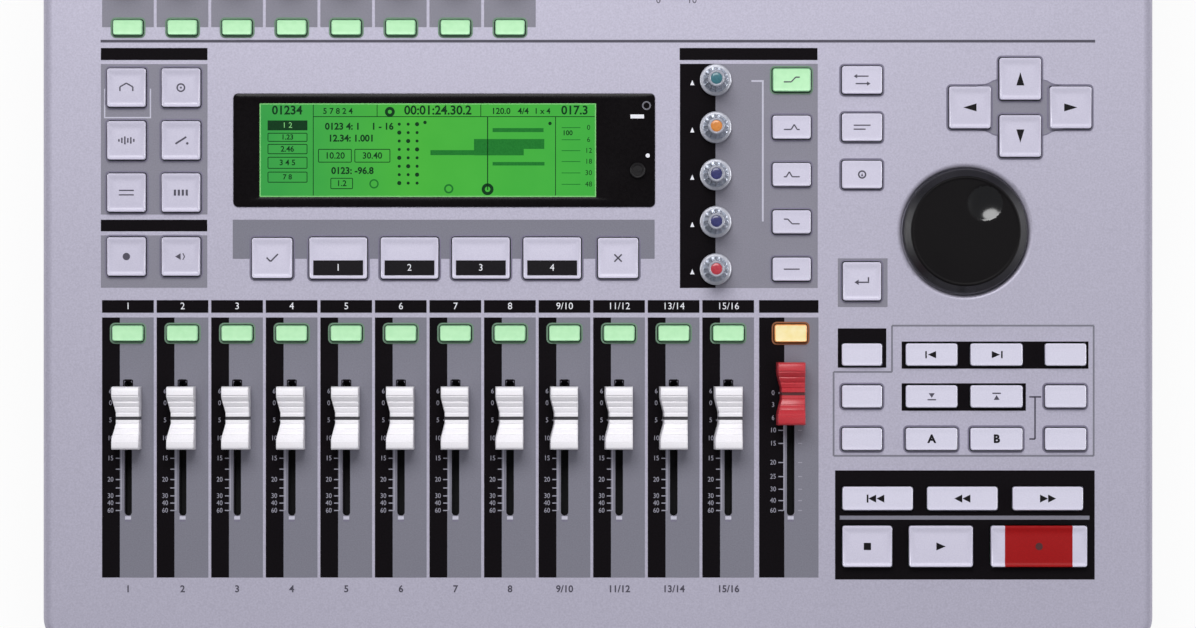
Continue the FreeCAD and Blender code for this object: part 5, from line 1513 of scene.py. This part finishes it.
def print_brackets(piece):
    """The bracket beside the equaliser knobs and the frame round the navigate label, open to the rear."""
    low, high = eq_v(1) + 0.2, eq_v(4)
    left, right = EQ_BRACKET_U - EQ_BRACKET_LINE / 2, EQ_BRACKET_U + EQ_BRACKET_LINE / 2
    bracket = [
        (left, right, low, high), (EQ_BRACKET_U - EQ_BRACKET_REACH, left, high - EQ_BRACKET_LINE, high)
    ]
    piece.boxes(bracket, THIRD_COAT, pale_print_and_highlight)
    left, right, front, rear = NAVIGATE_LABEL
    inner = front + LINE_WIDTH
    sides = [(left, left + LINE_WIDTH, inner, rear), (right - LINE_WIDTH, right, inner, rear)]
    piece.boxes([(left, right, front, inner)] + sides, SECOND_COAT, pale_print_and_highlight)


def print_legends():
    piece = Piece("panel_legends", print_white)
    for index, text in enumerate(CHANNEL_FIGURES):
        u = channel_u(index)
        piece.text(text, u, HEADER_FIGURE_V, FIGURE_SIZE, THIRD_COAT)
        piece.text(text, u, FOOT_FIGURE_V, FIGURE_SIZE, COAT, print_dark, weight=0.1)
        add_scale(piece, u, CHANNEL_SCALE)
        print_slot_ends(piece, u)
    add_scale(piece, STEREO_U, STEREO_SCALE)
    print_slot_ends(piece, STEREO_U)
    left, right = STEREO_TICK
    ticks = [(STEREO_U + left, STEREO_U + right, v - TICK_HALF, v + TICK_HALF) for v, _ in STEREO_SCALE]
    piece.boxes(ticks, THIRD_COAT, print_scale)
    for row in range(EQ_ROWS):
        piece.fill([triangle(EQ_ARROW_U, eq_v(row) - 1.0, *EQ_ARROW)], THIRD_COAT)
    piece.boxes([TRANSPORT_LINE], THIRD_COAT, print_grey)
    print_brackets(piece)
    add_locate_lines(piece)
    piece.finish("case", slot="case_silver")


def add_locate_lines(piece):
    """The thin outline round the locate keys, with a step in its corner, and the bracket."""
    left, inner = LOCATE_LEFT
    step, rear = LOCATE_REAR
    front, right = LOCATE_FRONT, LOCATE_RIGHT
    bracket, low, high = LOCATE_BRACKET_U, LOCATE_ROWS[0], LOCATE_ROWS[1] - 0.2
    outline = (
        LOCATE_LINE, print_grey,
        ((inner, right, rear), (left, right, front), (left, inner, step)),
        ((right, front, rear), (left, front, step), (inner, step, rear)),
    )
    clasp = (
        BRACKET_LINE, print_dark,
        ((bracket - BRACKET_ARM, bracket + BRACKET_TIP, high), (bracket - BRACKET_ARM, bracket, low)),
        ((bracket, low, high),),
    )
    for width, ink, across, along in (outline, clasp):
        half = width / 2
        runs = [(start, end, v - half, v + half) for start, end, v in across]
        runs += [(u - half, u + half, start, end) for u, start, end in along]
        piece.boxes(runs, COAT, ink)


def print_cursor_field():
    """The grey ground between the cursor keys, which flares out to their outer edges."""
    piece = Piece("cursor_ground", print_mid)
    reach = KEY_GAP + CURSOR_KEY[0] / 2
    side = CURSOR_REACH_U - reach
    end = CURSOR_REACH_V - KEY_GAP - CURSOR_KEY[1] / 2
    quarter = list(CURSOR_FLARE) + [(-reach, end)]
    top = quarter + [(-x, y) for x, y in reversed(quarter)] + [(side, CURSOR_FLARE[0][1])]
    outline = top + [(-x, -y) for x, y in top]
    piece.fill([[(CURSOR_U + x, CURSOR_V + y) for x, y in outline]], COAT)
    for across, along in ((-1, -1), (-1, 1), (1, -1), (1, 1)):
        points = [(across * x, along * y) for x, y in CURSOR_FLARE]
        piece.draw(CURSOR_U, CURSOR_V, points, CURSOR_LINE, SECOND_COAT, outline_and_shade)
    piece.finish("case", slot="case_silver")


# Rear, front and underside. Their pieces are drawn square onto the surface: u to the right,
# v up, and w outwards from it.
REAR_FACE = 176.5
BEZEL_FACE = -185.0
UPRIGHT = Matrix.Rotation(math.pi / 2, 4, "X")
REAR = Matrix.Translation((0, REAR_FACE * MM, 0)) @ Matrix.Rotation(math.pi, 4, "Z") @ UPRIGHT
FRONT = Matrix.Translation((0, -CASE_DEPTH / 2 * MM, 0)) @ UPRIGHT
DRIVE = Matrix.Translation((0, BEZEL_FACE * MM, 0)) @ UPRIGHT
UNDER = Matrix.Translation((0, 0, 5.0 * MM)) @ Matrix.Rotation(math.pi, 4, "X")
REAR_COAT = (-0.05, 0.06)
REAR_FIGURE_RISE = 10.5
REAR_FIGURE_SIZE = 3.0
REAR_ARROW = (4.0, 3.2)
SIGN_LINE = 0.5
REAR_FRAME = (0.45, 1.2, 1.0)
FRAME_GAP = 1.2
JACK_FRAME = (38, 63)
INPUTS_INSET = 1
OUTPUTS_INSET = 2
JACK_SIGN_Z = 33.5
MIDI_FRAME = (18.5, 68)
MIDI_FRAME_REACH = 10.5
COAX_FRAME = (22, 64)
COAX_FRAME_REACH = 9
SOCKET_SIGN_Z = 43.0
SWITCH_FIGURE_OFFSET = 13.5
SWITCH_FIGURE_RISE = 6.5
SWITCH_FIGURE_SIZE = 2.6
WAVE_RISE = 1.1
WAVE_OFFSET = 9.5
CONTACT_REACH = 3.9
CONTACT_RADIUS = 0.85
INSERT_SPAN = (-4.2, -3.0)
GROUND_SPAN = (-5.4, -4.8)
INSERT_KEY = (2.6, 1.6, 0.3)
INSERT_KEY_RISE = 5.6
INSERT_KEY_SPAN = (-3.0, 0.9)
COAX_RING = (3.35, 1.62)
COAX_RING_SPAN = (8.3, 8.62)
ROCKER_LINE = (0.8, 4.2, 0.3)
ROCKER_RING = (2.1, 1.4)
ROCKER_MARK_RISE = 4.6
ROCKER_COAT = (-0.1, 0.08)
HOLE_OFFSET = -52
LAMP_OFFSET = 40
LAMP = (4.6, 1.9, 0.9)
HOLE = (1.0, 24)
RIB = (62, 0.7, 0.3)
RIB_OFFSET = -12
RIB_HEIGHTS = (15.6, 17.3, 19.0)
LIP = (118, 3.0, 1.3)
DRIVE_ROW_Z = 19.5
LIP_Z = 33.2
EJECT_COAT = (0.95, 1.05)
EJECT_ARROW = (20.1, 2.6, 1.5)
EJECT_BAR = (18.5, 2.6, 0.5)
PHONES_SIGN_OFFSET = 14
HEADBAND_RADIUS = 2.6
PAD = (1.4, 2.6, 0.5)
PAD_OFFSET = 2.5
LABEL = (95, -20, 62, 34, 1.5)
LABEL_SPAN = (-0.02, 0.12)
LABEL_INK = (0.1, 0.18)
LABEL_LINES = (48, 40, 52, 30, 44)
LABEL_LINES_U = 69
LABEL_LINES_V = -9
LABEL_LINE_PITCH = 5.4

JACK_PITCH = 24.0
JACK_1_X = -186.0
JACKS = 13
JACK_Z = 48.0
NUT_REACH = 7.1
NOZZLE_RADIUS = 4.55
NOZZLE_BORE = 3.25
MIDI_X = 124.0
MIDI_HEIGHTS = (30.0, 56.0)
MIDI_RADIUS = 6.5
COAX_X = 149.0
COAX_HEIGHTS = (32.0, 54.0)
COAX_REACH = 4.3
INLET_X = 178.0
INLET_Z = 29.0
PIN_SPACING = 8.6
PIN_REACH = 1.4
SWITCH_X = 178.0
SWITCH_Z = 56.0
SWITCH_FACE = 2.5
PHONES_X = -190.0
PHONES_Z = 38.0
DRIVE_X = 133.0
EJECT_X = 188.0

nut_steel = plastic("nut_steel", (176, 174, 170), (196, 194, 190), 0.9, 0.02, 0.28, metallic=1.0)
din_grey = plastic("din_grey", (44, 44, 48), (54, 54, 58), 0.5, 0.02, 0.5)
coax_orange = plastic("coax_orange", (206, 92, 34), (220, 108, 48), 0.5, 0.01, 0.4)
rear_ink = plastic("rear_ink", (196, 196, 200), (210, 210, 214), 0.3, 0.004, 0.5)
rocker_black = plastic("rocker_black", (22, 22, 24), (30, 30, 33), 0.4, 0.02, 0.36)
lamp_green = plastic("lamp_green", (40, 120, 60), (60, 150, 80), 0.5, 0.004, 0.2, coat=0.5)
label_silver = plastic("label_silver", (190, 190, 192), (204, 204, 206), 1.0, 0.006, 0.4, metallic=0.5)


def near(x, z, centre_x, centre_z, reach):
    return math.hypot(x - centre_x, z - centre_z) < reach


def socket_finish(x, y, z):
    """Which finish a face of the sockets takes, from where it lies in millimetres."""
    outside = y > REAR_FACE - 0.05
    for index in range(JACKS):
        if near(x, z, JACK_1_X + JACK_PITCH * index, JACK_Z, NUT_REACH):
            bored = near(x, z, JACK_1_X + JACK_PITCH * index, JACK_Z, NOZZLE_BORE)
            return 1 if outside and not bored else 0
    if any(near(x, z, COAX_X, height, COAX_REACH) for height in COAX_HEIGHTS):
        return 1 if outside else 0
    if any(near(x, z, INLET_X + side * PIN_SPACING / 2, INLET_Z, PIN_REACH) for side in (-1, 1)):
        return 1
    if near(x, z, PHONES_X, PHONES_Z, NOZZLE_RADIUS):
        return 0 if near(x, z, PHONES_X, PHONES_Z, NOZZLE_BORE) else 1
    return 0


def paint_sockets():
    """Metal nuts, sleeves and pins on the black bodies of the sockets."""
    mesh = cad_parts["sockets"].data
    mesh.materials.append(nut_steel)
    for face in mesh.polygons:
        x, y, z = (value / MM for value in face.center)
        face.material_index = socket_finish(x, y, z)


def print_rear():
    """Numbers, frames and signs on the rear panel; u runs against x here."""
    piece = Piece("rear_legends", rear_ink, REAR)
    for index in range(JACKS):
        u = -(JACK_1_X + JACK_PITCH * index)
        piece.text(str(index + 1), u, JACK_Z + REAR_FIGURE_RISE, REAR_FIGURE_SIZE, REAR_COAT)
    half_gap = FRAME_GAP / 2
    inputs_end = JACK_1_X + JACK_PITCH * (INPUTS - 0.5)
    inputs_start = JACK_1_X - JACK_PITCH / 2 + INPUTS_INSET
    outputs_end = JACK_1_X + JACK_PITCH * (JACKS - 0.5) - OUTPUTS_INSET
    groups = (
        (inputs_start, inputs_end - half_gap, JACK_FRAME), (inputs_end + half_gap, outputs_end, JACK_FRAME),
        (MIDI_X - MIDI_FRAME_REACH, MIDI_X + MIDI_FRAME_REACH, MIDI_FRAME),
        (COAX_X - COAX_FRAME_REACH, COAX_X + COAX_FRAME_REACH, COAX_FRAME),
    )
    for start, end, levels in groups:
        piece.fill(outline_frame((-end, -start, *levels), *REAR_FRAME), REAR_COAT)
    inputs_x, outputs_x = (inputs_start + inputs_end) / 2, (inputs_end + outputs_end) / 2
    signs = (
        (inputs_x, JACK_SIGN_Z, 0), (outputs_x, JACK_SIGN_Z, 180),
        (MIDI_X, SOCKET_SIGN_Z, 0), (COAX_X, SOCKET_SIGN_Z, 180),
    )
    for x, z, turn in signs:
        piece.fill([triangle(-x, z, *REAR_ARROW, turn)], REAR_COAT)
    for text, side in (("ON", 1), ("OFF", -1)):
        place = (SWITCH_FIGURE_OFFSET - SWITCH_X, SWITCH_Z + side * SWITCH_FIGURE_RISE)
        piece.text(text, *place, SWITCH_FIGURE_SIZE, REAR_COAT)
    wave = [(0.5 * step - 3.0, WAVE_RISE * math.sin(math.pi * step / 6)) for step in range(13)]
    piece.draw(-INLET_X, INLET_Z + WAVE_OFFSET, wave, SIGN_LINE, REAR_COAT)
    piece.finish("case", slot="socket_black")


def add_din_inserts():
    """The insert of each DIN socket with its five contact holes in an arc and its key slot."""
    piece = Piece("din_inserts", din_grey, REAR)
    for z in MIDI_HEIGHTS:
        contacts = []
        for step in range(5):
            across, up = polar(CONTACT_REACH, math.radians(180 + 45 * step))
            contacts.append(circle_outline(across - MIDI_X, z + up, CONTACT_RADIUS, 20))
        disc = circle_outline(-MIDI_X, z, MIDI_RADIUS, 48)
        piece.fill([disc, *contacts], INSERT_SPAN)
        ground = circle_outline(-MIDI_X, z, MIDI_RADIUS - 0.2, 48)
        piece.fill([ground], GROUND_SPAN, rocker_black)
        piece.fill([rounded_outline(-MIDI_X, z + INSERT_KEY_RISE, *INSERT_KEY)], INSERT_KEY_SPAN)
    piece.finish("case", slot="socket_black")


def add_coax_rings():
    piece = Piece("coax_insulators", coax_orange, REAR)
    for z in COAX_HEIGHTS:
        piece.fill([circle_outline(-COAX_X, z, radius) for radius in COAX_RING], COAX_RING_SPAN)
    piece.finish("case", slot="socket_black")


def add_rocker_marks():
    """The line and the ring on the two halves of the rocker."""
    line = [rounded_outline(0, 0, *ROCKER_LINE)]
    ring = [circle_outline(0, 0, radius) for radius in ROCKER_RING]
    halves = (("rocker_line", line, 1, -1.5, -0.88), ("rocker_ring", ring, -1, -11, 0.05))
    for name, outlines, side, slope, level in halves:
        middle = Vector((-SWITCH_X, SWITCH_Z + side * ROCKER_MARK_RISE, SWITCH_FACE + level)) * MM
        place = REAR @ Matrix.Translation(middle) @ Matrix.Rotation(math.radians(slope), 4, "X")
        piece = Piece(name, rear_ink, place)
        piece.fill(outlines, ROCKER_COAT)
        piece.finish("power_switch")


def add_drive_details():
    """Lamp, release hole and lip of the disc drive, and the sign on its eject button."""
    piece = Piece("drive_details", drive_black, DRIVE)
    hole = circle_outline(DRIVE_X + HOLE_OFFSET, DRIVE_ROW_Z, *HOLE)
    lamp = rounded_outline(DRIVE_X + LAMP_OFFSET, DRIVE_ROW_Z, *LAMP)
    piece.fill([hole], (-0.05, 0.05), rocker_black)
    piece.fill([lamp], (-0.1, 0.35), lamp_green)
    for z in RIB_HEIGHTS:
        piece.fill([rounded_outline(DRIVE_X + RIB_OFFSET, z, *RIB)], (-0.05, 0.25))
    piece.finish("case", slot="drive_case")
    piece = Piece("tray_lip", drive_black, DRIVE)
    width, height, corner = LIP
    for inset, level in ((0.0, 0.25), (0.5, 0.5)):
        bar = rounded_outline(DRIVE_X, LIP_Z, width - 2 * inset, height - 2 * inset, corner - inset)
        piece.fill([bar], (-0.05, level))
    piece.finish("disc_tray")
    piece = Piece("eject_sign", rear_ink, DRIVE)
    for mark in (triangle(EJECT_X, *EJECT_ARROW), block(EJECT_X, *EJECT_BAR)):
        piece.fill([mark], EJECT_COAT)
    piece.finish("eject_button")


def add_phones_sign():
    """A headband with its two pads beside the phones jack."""
    piece = Piece("phones_sign", print_dark, FRONT)
    u, v = PHONES_X + PHONES_SIGN_OFFSET, PHONES_Z
    arc = [polar(HEADBAND_RADIUS, math.radians(15 * step)) for step in range(13)]
    piece.draw(u, v, arc, SIGN_LINE, REAR_COAT)
    for side in (-1, 1):
        pad = rounded_outline(u + side * PAD_OFFSET, v - PAD[1] / 2, *PAD)
        piece.fill([pad], REAR_COAT)
    piece.finish("case", slot="case_silver")


def add_rating_label():
    """A plain label under the case with ruled lines."""
    piece = Piece("rating_label", label_silver, UNDER)
    piece.fill([rounded_outline(*LABEL)], LABEL_SPAN)
    for step, length in enumerate(LABEL_LINES):
        line = block(LABEL_LINES_U + length / 2, LABEL_LINES_V - LABEL_LINE_PITCH * step, length, SIGN_LINE)
        piece.fill([line], LABEL_INK, print_dark)
    piece.finish("case", slot="case_base")


def print_knob_scales():
    """Short marks round the gain knobs and the monitor knob, which also has its end figures."""
    piece = Piece("knob_scales", print_dark)
    knobs = [(channel_u(index), GAIN_KNOB_V, EQ_KNOB_RADIUS, print_white) for index in range(INPUTS)]
    knobs.append((MONITOR_U, MONITOR_V, MONITOR_RADIUS, print_dark))
    for u, v, radius, ink in knobs:
        for step in range(KNOB_MARKS):
            angle = math.radians(30 * step - 60)
            points = [polar(radius + gap, angle) for gap in KNOB_MARK_REACH]
            piece.draw(u, v, points, KNOB_MARK_LINE, SECOND_COAT, ink)
    for text, u in MONITOR_FIGURES:
        piece.text(text, u, MONITOR_FIGURE_V, FIGURE_SIZE, COAT)
    piece.finish("case", slot="case_silver")


print_fields()
print_outlines()
add_keys()
print_cursor_field()
print_legends()
add_bezel()
add_screen_drawing()
add_window_marks()
add_contrast_knob()
add_faders()
add_knobs()
add_jog_wheel()
paint_cad_nodes()
paint_sockets()
print_rear()
add_din_inserts()
add_coax_rings()
add_rocker_marks()
add_drive_details()
add_phones_sign()
add_rating_label()
print_knob_scales()

add_camera()
add_world()
add_lamp("key_lamp", (-120, 1050, 1300), (1200, 900), 19.5)
add_lamp("fill_lamp", (650, -250, 1400), (1100, 1100), 4.5, mirrored=False)
left_shine = add_lamp("left_shine", (-1450, 300, 330), (1500, 600), 20.0, lighting=False)
right_shine = add_lamp("right_shine", (1450, 300, 330), (1500, 600), 34.0, lighting=False)
shade_from(left_shine, "top_case")
shade_from(right_shine, "top_case")
add_floor()

scene = bpy.context.scene
scene.view_settings.view_transform = "Standard"
